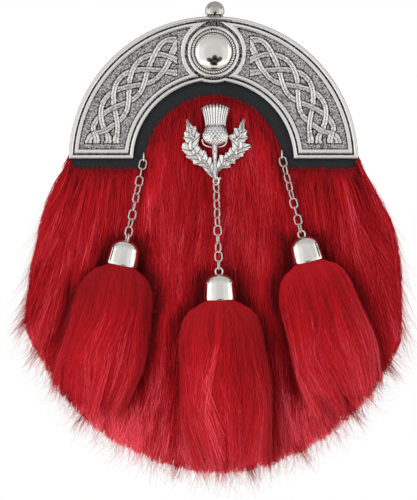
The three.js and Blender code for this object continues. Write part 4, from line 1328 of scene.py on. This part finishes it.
def tassel_strands(drop):
    """Paths, normals, widths, rolls and shades of one tassel's strands, in the front view."""
    count, steps = TASSEL_STRANDS, STEPS_DOWN[None, :]
    lock_jitter = rng.uniform(-0.4, 0.4, TASSEL_LOCKS)
    lock_turn = (np.arange(TASSEL_LOCKS) + lock_jitter) * 2 * np.pi / TASSEL_LOCKS
    lock_end = rng.uniform(0.86, 1.05, TASSEL_LOCKS) * drop["length"]
    lock_shade = rng.normal(0, 0.045, TASSEL_LOCKS)
    lock_out = rng.uniform(0.97, 1.03, TASSEL_LOCKS)
    lock_wave = rng.normal(0, 0.07, TASSEL_LOCKS)
    lock_room = rng.uniform(0.88, 1.06, TASSEL_LOCKS)
    strip = rng.integers(0, TASSEL_STRIPS, count)
    lock = rng.integers(0, TASSEL_LOCKS, TASSEL_STRIPS)[strip]
    strip_out = rng.uniform(0.955, 1, TASSEL_STRIPS)
    strip_shade = rng.normal(0, 0.08, TASSEL_STRIPS)
    strip_wave = rng.normal(0, 0.08, TASSEL_STRIPS)

    # Round the bundle: the lock's angle, the strand's place in it, and waves down its length
    spread = (rng.normal(0, 0.24, TASSEL_STRIPS)[strip] + rng.normal(0, 0.055, count))[:, None]
    own_wave = (strip_wave[strip] + rng.normal(0, 0.03, count))[:, None] * steps**1.5
    wave = lock_wave[lock][:, None] * np.sin(4.5 * steps + lock[:, None]) + own_wave
    curl = 0.1 * np.sin(6.5 * steps + 1.6 * lock_turn[lock][:, None]) * smooth(0.1, 0.6, steps)
    turn = lock_turn[lock][:, None] + spread * (1 - 0.45 * steps) + wave + curl

    # Out from its middle, with the strays further out
    own_out = lock_out[lock] * strip_out[strip] * rng.uniform(0.95, 1, count)
    share = own_out[:, None] * (1 - 0.03 * steps)
    stray = (rng.random(count) < 0.08) * rng.uniform(0.01, 0.1, count)
    share = share * (1 + stray[:, None] * smooth(0.02, 0.4, steps))
    turn = turn + stray[:, None] * rng.normal(0, 1.6, count)[:, None] * steps

    # Down to the strand's own end
    end = lock_end[lock] * rng.uniform(0.66, 1.06, count)
    room = tassel_room(drop, turn[:, -1], share[:, -1]) * lock_room[lock]
    end = np.minimum(end, room * rng.uniform(0.95, 1.02, count))
    along = -TASSEL_START + (end[:, None] + TASSEL_START) * steps
    paths = hung(tassel_point(along, turn, share), drop)
    facing = np.stack([np.cos(turn), 0.15 + 0 * turn, 1.6 * np.sin(turn) + 0.6], axis=-1)
    normals = unit(facing) @ drop["hang_axes"].T
    widths = np.where(stray > 0, STRAY_WIDTH, TASSEL_WIDTH)[:, None] * (1 - 0.8 * steps**1.5)

    # Paler towards the tips, with shades for locks, strips and single strands
    pale = 0.13 * (rng.random(count) < 0.07)
    # Painted light and shade: paler low down as if lit from below, with painted sheen, darker under the cap,
    # the right tassel lighter and the left darker against the lamp on the left, and the flanks a little
    # lighter.
    shade = 0.285 + 0.06 * drop["outer"] + 0.3 * smooth(0.2, 1.05, steps) + 0.03 * np.cos(turn) ** 4
    own = lock_shade[lock] + strip_shade[strip] + rng.normal(0, 0.07, count) + pale
    shade = np.maximum(shade + own[:, None] * (0.15 + 0.85 * smooth(0.1, 0.5, steps)), DARKEST)
    return paths, normals, widths, rng.normal(0, 0.22, count), shade


for side, drop in DROPS.items():
    nodes = [f"tassel_hair_{side}"]
    add_hair(f"tassel_strands_{side}", *tassel_strands(drop), HAIR, "red_hair", nodes)
    core = hung(tassel_core(), drop)
    # The core is paler downwards like the strands: painted light from below.
    core_shade = np.broadcast_to(np.linspace(0.32, 0.5, len(core))[:, None], core.shape[:2])
    add_rings(f"tassel_core_{side}", core, HAIR, "red_hair", nodes, shade=core_shade)

# %% [markdown]
# The drops press into the fur. A collision in a hair simulation could find that, but the drops
# hang still, so a table is enough: each drop's middle line and half-widths are listed from its
# chain's anchor down to its tassel's tips. Fur under a drop is held below its back, and beside
# it the fur rises again, which leaves the soft dark valley that shows round the caps.

# %% Room for the drops
CAP_ROWS = np.array([
    # along, wide, deep, sink
    (1, 7.4, 7.4, 5.0), (6, 7.5, 7.5, 5.6), (15, 7.6, 7.6, 5.6),
])
CHAIN_ROWS, CHAIN_ROOM = 12, [3.0, 3.0, 1.0]
PRESS_STEPS = (-9, -6, -3, 0, 3, 6)
PRESS_GAP, HIDE_GAP = 0.6, 0.2


def drop_table(drop):
    """Rows of height, x, z, half-width, half-depth and sink down a drop, from the bottom up."""
    links = np.linspace(0, 1, CHAIN_ROWS)[:, None]
    chain = np.array(drop["at"]) * (1 - links) + drop["end"] * links
    sink = 6 * smooth(70, 15, TASSEL_ALONG)
    sizes = np.stack([TASSEL_WIDE * drop["size"], TASSEL_DEEP * drop["size"], sink], axis=-1)
    below = np.concatenate([-CAP_ROWS[:, 0], CAP_BOTTOM - TASSEL_ALONG[2:-1]])
    line = drop["end"] + np.stack([0 * below, below, 0 * below], axis=-1) @ drop["hang_axes"].T
    points = np.concatenate([chain, line])
    rest = np.concatenate([np.tile(CHAIN_ROOM, (CHAIN_ROWS, 1)), CAP_ROWS[:, 1:], sizes[2:-1]])
    return np.concatenate([points[:, [1, 0, 2]], rest], axis=1)[::-1]


DROP_TABLES = [drop_table(drop) for drop in DROPS.values()]


def painted_drop_shadow(x, y):
    """Painted shadow of the drops: 1 right beside a cap or a tassel, fading out away from it."""
    near = 0
    for rows in DROP_TABLES:
        at_x, wide = [np.interp(y, rows[:, 0], rows[:, column], left=0, right=0) for column in (1, 3)]
        away = np.abs(x - at_x) - wide
        near = np.maximum(near, (wide > 5) * np.exp(-((np.maximum(away, 0) / 7.5) ** 2)))
    return near * smooth(-175, -140, y)


def pressed(x, y, z):
    """z, held below the back of any drop that lies over the point, and low beside it."""
    for rows in DROP_TABLES:
        for step in PRESS_STEPS:
            read = [np.interp(y + step, rows[:, 0], column, left=0, right=0) for column in rows.T[1:]]
            at_x, at_z, wide, deep, sink = read
            off = np.abs(x - at_x)
            under = at_z - deep * np.sqrt(np.clip(1 - (off / np.maximum(wide, 0.1)) ** 2, 0, None))
            beside = at_z - sink + 0.4 * (off - wide)
            below = np.where(off < wide, under, beside) - PRESS_GAP
            z = np.where(wide > 0, np.minimum(z, below), z)
    return np.maximum(z, hide(x, y) + HIDE_GAP)


print("rows down each drop", [len(rows) for rows in DROP_TABLES])

# %% [markdown]
# Under the hair lies a dark coat of wool. It closes the view between the strands and gives their
# roots a shadow, and its dark red is painted shade of the coat's depths. More strands could do
# that too, but a closed skin takes far fewer triangles. Its rings shrink from the edge of the hide
# to the centre.

# %% Under-coat
WOOL_SIDES, WOOL_FRONT, WOOL_BACK, WOOL_SHARP = 240, 30, 12, 80
WOOL_LIFT, WOOL_SUNK, WOOL_INSET, WOOL_BELOW = 0.42, -0.1, 4.5, 0.5


def wool():
    """Rings about the centre: front rings out to the coat's edge, then back rings on the hide."""
    turn = circle(WOOL_SIDES)
    way = np.stack([np.cos(turn), np.sin(turn)], axis=-1)
    far = np.linspace(0, 160, 801)
    line = np.moveaxis(CENTRE + far[:, None, None] * way, -1, 0)
    clear = np.minimum(inside_outline(*line) - WOOL_INSET, below_top(*line) - WOOL_BELOW)
    edge_at = far[np.argmax(clear < 0, axis=0)]
    front_shares = np.linspace(0.02, 1, WOOL_FRONT)
    shares = np.concatenate([front_shares, np.linspace(1, 0.02, WOOL_BACK)])
    flat = CENTRE + (shares[:, None] * edge_at)[..., None] * way
    front_lift = WOOL_LIFT * rounded(1 - front_shares, 0.4)
    lift = np.concatenate([front_lift, np.full(WOOL_BACK, WOOL_SUNK)])[:, None]
    x, y = flat[..., 0], flat[..., 1]
    z = hide(x, y) + lift * coat_depth(x, y)
    z = np.where(lift > 0, pressed(x, y, z), z)
    return np.concatenate([flat, z[..., None]], axis=-1)


undercoat = wool()
rim = 1 - smooth(4, 22, inside_outline(undercoat[..., 0], undercoat[..., 1]))
# Paler near the lower outline: painted light from below, as on the hair tips.
wool_shade = 0.28 + 0.2 * rim * smooth(-85, -120, undercoat[..., 1])
add_rings("fur_wool", undercoat, FUR, "red_fur", ["fur_front"], sharp=WOOL_SHARP, shade=wool_shade)

# %% [markdown]
# Now the long hair. Real fur lies in locks and in streaks of one shade. Locks are cells of a
# grid over the hide, and each has its own lean, lift, bend and shade. Streaks are narrow bands
# along the combed lines. A particle system could sow the roots, but with arrays each root can
# ask how far it is from the outline and from the drops.

# %% Locks and streaks
FUR_LENGTH = 34.0
HIDE_ACROSS, HIDE_UP = (-94, 94), (-183, 12)
FUR_STEPS = np.array([0, 0.3, 0.66, 1.0])
LOCK_SPACING = 3.4
GRID_LEFT, GRID_BOTTOM, GRID_COLUMNS, GRID_ROWS = -96, -186, 57, 59
LOCK_GRID = (GRID_ROWS, GRID_COLUMNS)
lock_shift = rng.uniform(-0.5, 0.5, (*LOCK_GRID, 2)) * LOCK_SPACING
lock_tilt = rng.normal(0, 2.4, LOCK_GRID)
lock_shade = rng.normal(0, 0.075, LOCK_GRID)
lock_lift = rng.uniform(0.84, 1.0, LOCK_GRID)
lock_bend = rng.normal(0, 1.0, LOCK_GRID)
lock_reach = rng.uniform(0.95, 1.03, LOCK_GRID)
STREAKS_ACROSS, STREAKS_DOWN, STREAK_WIDTH, STREAK_LENGTH, STREAK_BOTTOM = 280, 9, 0.9, 28, -190
FAN_TOP, FAN_SPAN = 138, 228  # streaks fan out from this height, and have their width this far below it
streak_shade = rng.normal(0, 0.07, (STREAKS_ACROSS, STREAKS_DOWN))


def streaks(x, y):
    """The streak that a root belongs to: a narrow band along the combed lines, cut in lengths."""
    fanned = np.round(x * FAN_SPAN / (FAN_TOP - y) / STREAK_WIDTH)
    across = fanned.astype(int) + STREAKS_ACROSS // 2
    down = ((y - STREAK_BOTTOM + 9 * (across % 3)) / STREAK_LENGTH).astype(int)
    return across, down


def sow(count):
    """Roots spread evenly over the hide, kept where the coat can grow."""
    x, y = rng.uniform(*HIDE_ACROSS, 3 * count), rng.uniform(*HIDE_UP, 3 * count)
    margin = 2.5 + 5 * smooth(-60, -100, y) + 3 * smooth(-110, -140, y)
    keep = (inside_outline(x, y) > margin) & (below_top(x, y) > 0.2)
    return np.stack([x, y], axis=-1)[keep][:count]


def free_run(roots, ways):
    """How far each root can go along its way before it leaves the outline."""
    far = np.linspace(0, 60, 61)
    line = roots[:, None] + far[None, :, None] * ways[:, None]
    out = inside_outline(line[..., 0], line[..., 1]) < 0
    out[:, -1] = True
    return far[np.argmax(out, axis=1)]


def sweep(x, y):
    """Slow waves in the combing, in degrees."""
    return 3.0 * np.sin(x / 11 + y / 23) + 2.5 * np.sin(y / 15 - x / 29 + 1.3)


print("locks", GRID_ROWS * GRID_COLUMNS)

# %% [markdown]
# A strand of fur starts at its root, closes in on its lock, and is kept inside the outline and
# below the drops. A few strands are let go: they are longer, thinner and wilder. The roots are
# dark and the tips pale, partly painted shade and painted sheen, and the coat is paler low down as
# painted light from below. The coat is darker beside the drops and at its top edge, which is
# painted shadow of the drops and of the leather's edge.

# %% Long fur
FUR_PIECES, FUR_STRANDS = 3, 23000
GATHER, FUR_WIDTH, WILD_WIDTH, WILD_RISE, SHORTEST = 0.3, 0.37, 0.16, 1.2, 5


def fur_strands(count):
    """Paths, normals, widths, rolls and shades of a share of the fur's strands."""
    roots = sow(count)
    count, down = len(roots), FUR_STEPS[None, :]
    column = np.round((roots[:, 0] - GRID_LEFT) / LOCK_SPACING).astype(int)
    row = np.round((roots[:, 1] - GRID_BOTTOM) / LOCK_SPACING).astype(int)
    lock = (row, column)
    middle = np.stack([GRID_LEFT + LOCK_SPACING * column, GRID_BOTTOM + LOCK_SPACING * row], axis=-1)
    offset = roots - middle - lock_shift[lock]

    # The way that each strand is combed
    near_edge = 1 - smooth(4, 22, inside_outline(*roots.T))
    wild = rng.random(count) < 0.03 + 0.04 * near_edge
    tilt = flow_degrees(*roots.T) + sweep(*roots.T) + lock_tilt[lock] + rng.normal(0, 1.8, count)
    tilt = np.radians(tilt + wild * rng.normal(0, 10, count))
    way = np.stack([np.sin(tilt), -np.cos(tilt)], axis=-1)

    # Its length: full grown, or as far as the outline
    high = smooth(-112, -85, roots[:, 1])
    short = 0.3 * rng.random(count) ** 2 * (1 - high)
    room = free_run(roots, way) * (1.02 - short)
    room = room * (1 + (lock_reach[lock] - 1) * smooth(-70, -130, roots[:, 1]))
    grown = FUR_LENGTH * rng.uniform(0.7, 1.1, count)
    wild_length = np.minimum(grown * rng.uniform(1, 1.7, count), room + 8 * (1 - high))
    length = np.where(wild, wild_length, np.minimum(grown, room + 40 * high))

    # Its path in the front view, held inside the outline at the sides
    steps = FUR_STEPS[None, :, None]
    bend = lock_bend[lock][:, None, None] * np.sin(np.pi * steps) * way[:, None, ::-1] * [1, -1]
    gathered = roots[:, None] - offset[:, None] * GATHER * steps
    flat = gathered + way[:, None] * length[:, None, None] * steps + bend
    held = (2 - 2.6 * rng.random(count) ** 3)[:, None] - inside_outline(flat[..., 0], flat[..., 1])
    held = np.clip(held, 0, None) * smooth(0, 0.1, high)[:, None] * down**0.5
    flat = flat + held[..., None] * unit(CENTRE - flat)
    x, y = flat[..., 0], flat[..., 1]

    # How far it rises from the hide
    layer = (lock_lift[lock] * rng.uniform(0.55, 1.0, count))[:, None]
    rise = 0.15 + 0.85 * down**0.6
    z = pressed(x, y, hide(x, y) + coat_depth(x, y) * layer * rise)
    z = z + wild[:, None] * down * WILD_RISE
    paths = np.concatenate([flat, z[..., None]], axis=-1)
    normals = unit(np.stack([0.004 * x, 0.15 + 0 * y, 1 + 0 * y], axis=-1))
    widths = np.where(wild, WILD_WIDTH, FUR_WIDTH)[:, None] * (1 - 0.75 * down**2)

    # Its shade: paler low down, on the lower left and at the tips, which is painted light from below
    # and from the left and painted sheen; darker beside the drops and at the top edge, painted shadow
    low = smooth(-85, -150, y)
    pale = 0.28 - (0.06 + 0.04 * smooth(-40, 50, x)) * low
    shade = 0.265 + (0.3 + 0.05 * smooth(-10, -60, x)) * low + pale * down
    # Painted shadow of the drops beside them, and of the leather along the coat's top edge.
    shade = shade - 0.52 * painted_drop_shadow(x, y) - 0.2 * (1 - smooth(0, 6, below_top(x, y)))
    shade = shade + (lock_shade[lock] + 0.05 * np.sin(roots[:, 0] / 7 + roots[:, 1] / 31))[:, None]
    shade = shade + streak_shade[streaks(*roots.T)][:, None] * (1 + 0.5 * low)
    shade = shade + rng.normal(0, 0.05, count)[:, None]
    keep = length > SHORTEST
    return paths[keep], normals[keep], widths[keep], rng.normal(0, 0.3, count)[keep], shade[keep]


for number in range(FUR_PIECES):
    add_hair(f"fur_strands_{number + 1}", *fur_strands(FUR_STRANDS), FUR, "red_fur", ["fur_front"])

# %% [markdown]
# Short hairs finish the coat's edges. They need no locks, so one helper takes plain lists of
# roots, directions, lengths and shades. Where the coat meets the leather, short dark hairs line
# that edge; their dark is painted shadow under the leather's edge.

# %% Top edge
EDGE_HAIRS, EDGE_WIDTH, EDGE_RUN = 3800, 0.3, 75


def short_hairs(x, y, z, degrees, length, width, shade, curl, settle=lambda x, y, z: z):
    """Thin hairs from these roots, each along its own direction, bent a little and rising."""
    count, steps = len(x), FUR_STEPS[None, :]
    tilt = np.radians(degrees[:, None] + curl[:, None] * steps)
    reach = length[:, None] * steps
    rise = z[:, None] + rng.uniform(0.2, 2.0, count)[:, None] * steps
    x, y = x[:, None] + reach * np.sin(tilt), y[:, None] - reach * np.cos(tilt)
    paths = np.stack([x, y, settle(x, y, rise)], axis=-1)
    normals = np.broadcast_to([0.0, 0.1, 1.0], paths.shape)
    widths = width * (1 - 0.85 * steps) * (0.35 + 0.65 * smooth(0, 0.3, steps)) + 0 * reach
    return paths, normals, widths, rng.normal(0, 0.3, count), shade[:, None] + 0.25 * steps


def edge_roots(count):
    """Places along the coat's top edge: both straight runs under the feet and the arch between."""
    arch_length = np.pi * FUR_EDGE_RADIUS / 2
    travel = rng.uniform(-1, 1, count) * (arch_length + EDGE_RUN - FUR_EDGE_RADIUS)
    turn = np.clip(travel, -arch_length, arch_length) / FUR_EDGE_RADIUS
    past = travel - turn * FUR_EDGE_RADIUS
    inset = FUR_EDGE_RADIUS + np.minimum(rng.normal(-1.1, 0.9, count), 1.2)
    x = inset * np.sin(turn) + past
    y = np.where(past == 0, ARCH_Y + inset * np.cos(turn), FUR_FOOT_Y + inset - FUR_EDGE_RADIUS)
    return x, y


x, y = edge_roots(EDGE_HAIRS)
z = hide(x, y) + rng.uniform(0, 1.5, EDGE_HAIRS)
degrees = rng.normal(0, 10, EDGE_HAIRS)
length = rng.uniform(4, 9, EDGE_HAIRS)
# Dark shades: painted shadow under the leather's edge.
shade = rng.uniform(0.06, 0.24, EDGE_HAIRS)
curl = rng.normal(0, 12, EDGE_HAIRS)
hairs = short_hairs(x, y, z, degrees, length, EDGE_WIDTH, shade, curl, pressed)
add_hair("fur_edge", *hairs, FUR, "red_fur", ["fur_front"])

# %% [markdown]
# At the shoulders the coat wraps round the pouch's side behind the cantle's feet. From the front
# only a thin band of it shows, so short hairs along both sides are enough.

# %% Shoulders
SHOULDER_HAIRS, SHOULDER_WIDTH = 2000, 0.34
SHOULDER_X, SHOULDER_TOP, SHOULDER_LOW = 74.4, -17.5, -34
side = rng.choice([-1, 1], SHOULDER_HAIRS)
y = rng.uniform(SHOULDER_LOW, SHOULDER_TOP, SHOULDER_HAIRS)
x = side * (SHOULDER_X + rng.uniform(0, 0.28, SHOULDER_HAIRS) * (SHOULDER_TOP - y))
z = rng.uniform(25, 28, SHOULDER_HAIRS)
degrees = side * rng.normal(20, 3, SHOULDER_HAIRS)
length = rng.uniform(5, 13, SHOULDER_HAIRS)
shade = rng.uniform(0.2, 0.4, SHOULDER_HAIRS)
curl = rng.normal(0, 3, SHOULDER_HAIRS)
hairs = short_hairs(x, y, z, degrees, length, SHOULDER_WIDTH, shade, curl)
add_hair("fur_shoulders", *hairs, FUR, "red_fur", ["fur_front"])

# %% [markdown]
# All round the outline single fine hairs stand away from the rest. Most are short and pale, and
# some are long, dark and a little thicker. At the sides they lie closer to the coat.

# %% Wisps
WISPS, LONG_SHARE = 2900, 0.3
LONG_WIDTH, FINE_WIDTH, LONG_SHADE, FINE_SHADE, LONG_ROOM, FINE_ROOM = 0.12, 0.08, 0.02, 0.4, 14, 8


def outline_roots(count):
    """Places just inside the outline, below the shoulders."""
    degrees = rng.uniform(144, 396, count)
    turn = np.radians(degrees)
    inset = rng.uniform(1, 11, count) * (1 - 0.65 * smooth(-0.35, -0.05, np.sin(turn)))
    reach = np.interp(degrees % 360, REACH_AT, REACH, period=360) - inset
    return CENTRE[0] + reach * np.cos(turn), CENTRE[1] + reach * np.sin(turn)


x, y = outline_roots(WISPS)
long_one = rng.random(WISPS) < LONG_SHARE
grown = np.where(long_one, 10 + rng.gamma(2, 5, WISPS), 6 + rng.gamma(2, 2.6, WISPS))
beside = smooth(-130, -100, y)
degrees = flow_degrees(x, y) * (1 - 0.4 * smooth(-130, -165, y) - 0.3 * beside)
degrees = degrees + rng.normal(0, 12, WISPS) * (1 - 0.5 * beside)
curl = rng.normal(0, 22, WISPS) * (1 - 0.7 * beside)
slant = np.maximum(np.abs(np.sin(np.radians(degrees + curl))), 0.5)
room = inside_outline(x, y) + np.where(long_one, LONG_ROOM, FINE_ROOM)
length = np.minimum(grown, room / (1 - beside * (1 - slant)))
z = hide(x, y) + rng.uniform(0.5, 3, WISPS)
width = np.where(long_one, LONG_WIDTH, FINE_WIDTH)[:, None]
shade = np.where(long_one, LONG_SHADE, FINE_SHADE) + rng.uniform(0, 0.15, WISPS)
hairs = short_hairs(x, y, z, degrees, length, width, shade, curl)
add_hair("fur_wisps", *hairs, FUR, "red_fur", ["fur_front"])
print("long wisps", int(long_one.sum()), "of", WISPS)

# %% [markdown]
# Here and there a lock ends in a pointed tuft that stands clear of the outline. A short table
# places the tufts, and the hairs of each turn in towards its middle, so that it closes to a point.

# %% Tufts
TUFT_WIDTH = 0.28
TUFTS = np.array([
    # x, y, degrees, length, hairs
    (-87, -94, -40, 30, 90), (-90, -84, -27, 27, 60), (-84, -112, -38, 24, 50), (92, -96, 24, 24, 50),
    (84, -122, 40, 24, 50), (-62, -148, -34, 24, 40), (66, -146, 40, 23, 40), (14, -172, 22, 24, 60),
    (-16, -172, -16, 21, 40), (40, -166, 36, 22, 40),
])
tuft = np.repeat(TUFTS, TUFTS[:, 4].astype(int), axis=0)
own = rng.normal(0, 1, (len(tuft), 3))
x, y = tuft[:, 0] + 1.6 * own[:, 0], tuft[:, 1] + 2.5 * own[:, 1]
z = hide(tuft[:, 0], tuft[:, 1]) + rng.uniform(2, 5, len(tuft))
degrees = tuft[:, 2] + 2.2 * own[:, 2] - 3.2 * own[:, 0]
length = tuft[:, 3] * rng.uniform(0.7, 1, len(tuft))
shade = rng.uniform(0.05, 0.3, len(tuft))
curl = rng.normal(0, 4, len(tuft))
hairs = short_hairs(x, y, z, degrees, length, TUFT_WIDTH, shade, curl)
add_hair("fur_tufts", *hairs, FUR, "red_fur", ["fur_front"])

# %% [markdown]
# A small pale floor lies below the picture. The part hangs above it and doesn't touch it, so the
# floor is only a stage: it shows when the part is seen from higher up.

# %% Floor
FLOOR_RADIUS, FLOOR_Z, FLOOR_SIDES = 0.34, -0.3, 96


def make_floor():
    """A pale disc, in metres, that is part of the stage."""
    bpy.ops.mesh.primitive_circle_add(vertices=FLOOR_SIDES, radius=FLOOR_RADIUS, fill_type="NGON",
                                      location=(0, 0, FLOOR_Z))
    floor = bpy.context.object
    material, start, _ = new_material("pale_floor")
    surface(start, {"Base Color": linear(238, 237, 235), "Roughness": 0.7})
    floor.data.materials.append(material)


make_floor()
print("floor at", FLOOR_Z, "m")

# %% [markdown]
# The ground of the picture is white, but plated parts mirror a room, and matt parts are lit by
# soft grey. A photographed room could be wrapped round the scene. Instead the world asks which
# kind of ray it meets and answers each with its own brightness. Round dark blots in the room
# stand for the dark things that the mirrors show.

# %% The studio
BLOTS = [
    # way to look, width in degrees, strength
    ((0.04, -0.88, -0.45), 16, 0.92), ((-0.2, -0.9, -0.36), 9, 0.9), ((0.3, -0.88, -0.34), 10, 0.9),
    ((0.06, -0.95, -0.22), 8, 0.9), ((0.0, -0.78, -0.62), 12, 0.88), ((0.12, -0.7, -0.7), 9, 0.85),
    ((-0.92, 0.0, 0.38), 8, 0.95), ((-0.84, 0.2, 0.5), 8, 0.95), ((0.92, -0.04, 0.38), 8, 0.95),
    ((0.85, 0.14, 0.5), 8, 0.95), ((-0.66, 0.1, 0.74), 18, 0.4),
]
BLOT_CORE = 0.7


def make_world():
    """White to the camera, soft grey to matt pieces, and a room with white side walls to mirrors."""
    world = bpy.data.worlds.new("studio")
    world.use_nodes = True
    scene.world = world
    world.node_tree.nodes.clear()
    start = Shade(world.node_tree)
    way = start.node("ShaderNodeTexCoord", output="Generated")
    x, y, z = [start.node("ShaderNodeSeparateXYZ", None, {0: way}, output=axis) for axis in "XYZ"]
    matt = 0.5 - 0.12 * (-1 * y).ramp(0.8, 1.0) + 0.25 * z.ramp(-0.6, 0.9)
    side_walls = x.math("ABSOLUTE", x).ramp(0.74, 0.86) * (1 - z.ramp(0.42, 0.5)) * 0.45
    walls = side_walls + 0.35 * (-1 * z).ramp(0.3, 0.55)
    aside = (x * x + z * z) ** 0.5
    halo = aside.ramp(0.3, 0.6) * (1 - z.ramp(0.1, 0.5)) * 0.2
    room = 0.73 + walls + halo - 0.06 * x - 0.4 * y.ramp(0.45, 0.8) - 0.15 * z.ramp(0.55, 0.85)
    for toward, degrees, strength in BLOTS:
        length = math.hypot(*toward)
        inputs = {0: way, 1: [part / length for part in toward]}
        near = start.node("ShaderNodeVectorMath", {"operation": "DOT_PRODUCT"}, inputs, output="Value")
        edge, core = [math.cos(math.radians(degrees * share)) for share in (1, BLOT_CORE)]
        room = room * (1 - strength * near.ramp(edge, core))
    seen = start.node("ShaderNodeLightPath", output="Is Camera Ray")
    gloss = start.node("ShaderNodeLightPath", output="Is Glossy Ray")
    level = gloss * room + (1 - gloss) * matt
    strength = seen + (1 - seen) * level
    light = start.node("ShaderNodeBackground", None, {"Color": (1, 1, 1, 1), "Strength": strength})
    start.node("ShaderNodeOutputWorld", None, {"Surface": light})


make_world()
print("dark blots", len(BLOTS))

# %% [markdown]
# The picture was taken straight from the front. A long lens far away keeps the outline flat, and
# its focal length follows from the picture's height in millimetres at the cantle's face.

# %% Camera
MM_PER_PIXEL, PICTURE = 0.525, (417, 500)
VIEW_AT, VIEW_FROM = (-2.6, -70.9), 2.2  # millimetres, metres
REFERENCE_OUT, SENSOR, FARTHEST = 33.0, 36, 20


def make_camera():
    """A lens that frames the picture's height at the reference depth."""
    lens = bpy.data.cameras.new("front_view")
    lens.sensor_fit = "VERTICAL"
    lens.sensor_height = SENSOR
    lens.lens = SENSOR * VIEW_FROM / (PICTURE[1] * MM_PER_PIXEL / MM_IN_METRE)
    lens.clip_end = FARTHEST
    holder = bpy.data.objects.new("front_view", lens)
    out = -REFERENCE_OUT / MM_IN_METRE - VIEW_FROM
    holder.location = (VIEW_AT[0] / MM_IN_METRE, out, VIEW_AT[1] / MM_IN_METRE)
    holder.rotation_euler = (math.pi / 2, 0, 0)
    scene.collection.objects.link(holder)
    scene.camera = holder
    return lens.lens


print("lens mm", round(make_camera()))

# %% [markdown]
# The lamps are large and near, which gives the soft light all round. They light the fur and the
# leather, and stay hidden from mirrors, which see the studio's room instead.

# %% Lights
LIGHTS = [
    # name, place, aim, size, watts
    ("key", (-0.55, -0.9, 0.55), (0, 0, -0.05), (0.5, 0.7), 5.5),
    ("fill", (0.7, -0.8, 0.15), (0, 0, -0.07), (0.4, 0.8), 3.5),
    ("low", (-0.3, -0.6, -0.33), (-0.02, 0, -0.17), (0.4, 0.3), 2.3),
]


def add_light(name, place, aim, size, watts):
    """An area lamp that is turned to its aim."""
    lamp = bpy.data.lights.new(name, "AREA")
    lamp.shape = "RECTANGLE"
    lamp.size, lamp.size_y = size
    lamp.energy = watts
    holder = bpy.data.objects.new(name, lamp)
    holder.location = place
    reach = np.array(aim) - np.array(place)
    flat = math.hypot(reach[0], reach[1])
    holder.rotation_euler = (math.atan2(flat, -reach[2]), 0, math.atan2(-reach[0], reach[1]))
    holder.visible_glossy = False
    scene.collection.objects.link(holder)


for light in LIGHTS:
    add_light(*light)
scene.view_settings.view_transform = "Standard"
print("lamps", [name for name, *_ in LIGHTS])

# %% Sizes and finish
print("triangles in all", sum(TRIANGLES.values()), "largest", max(TRIANGLES.values()))
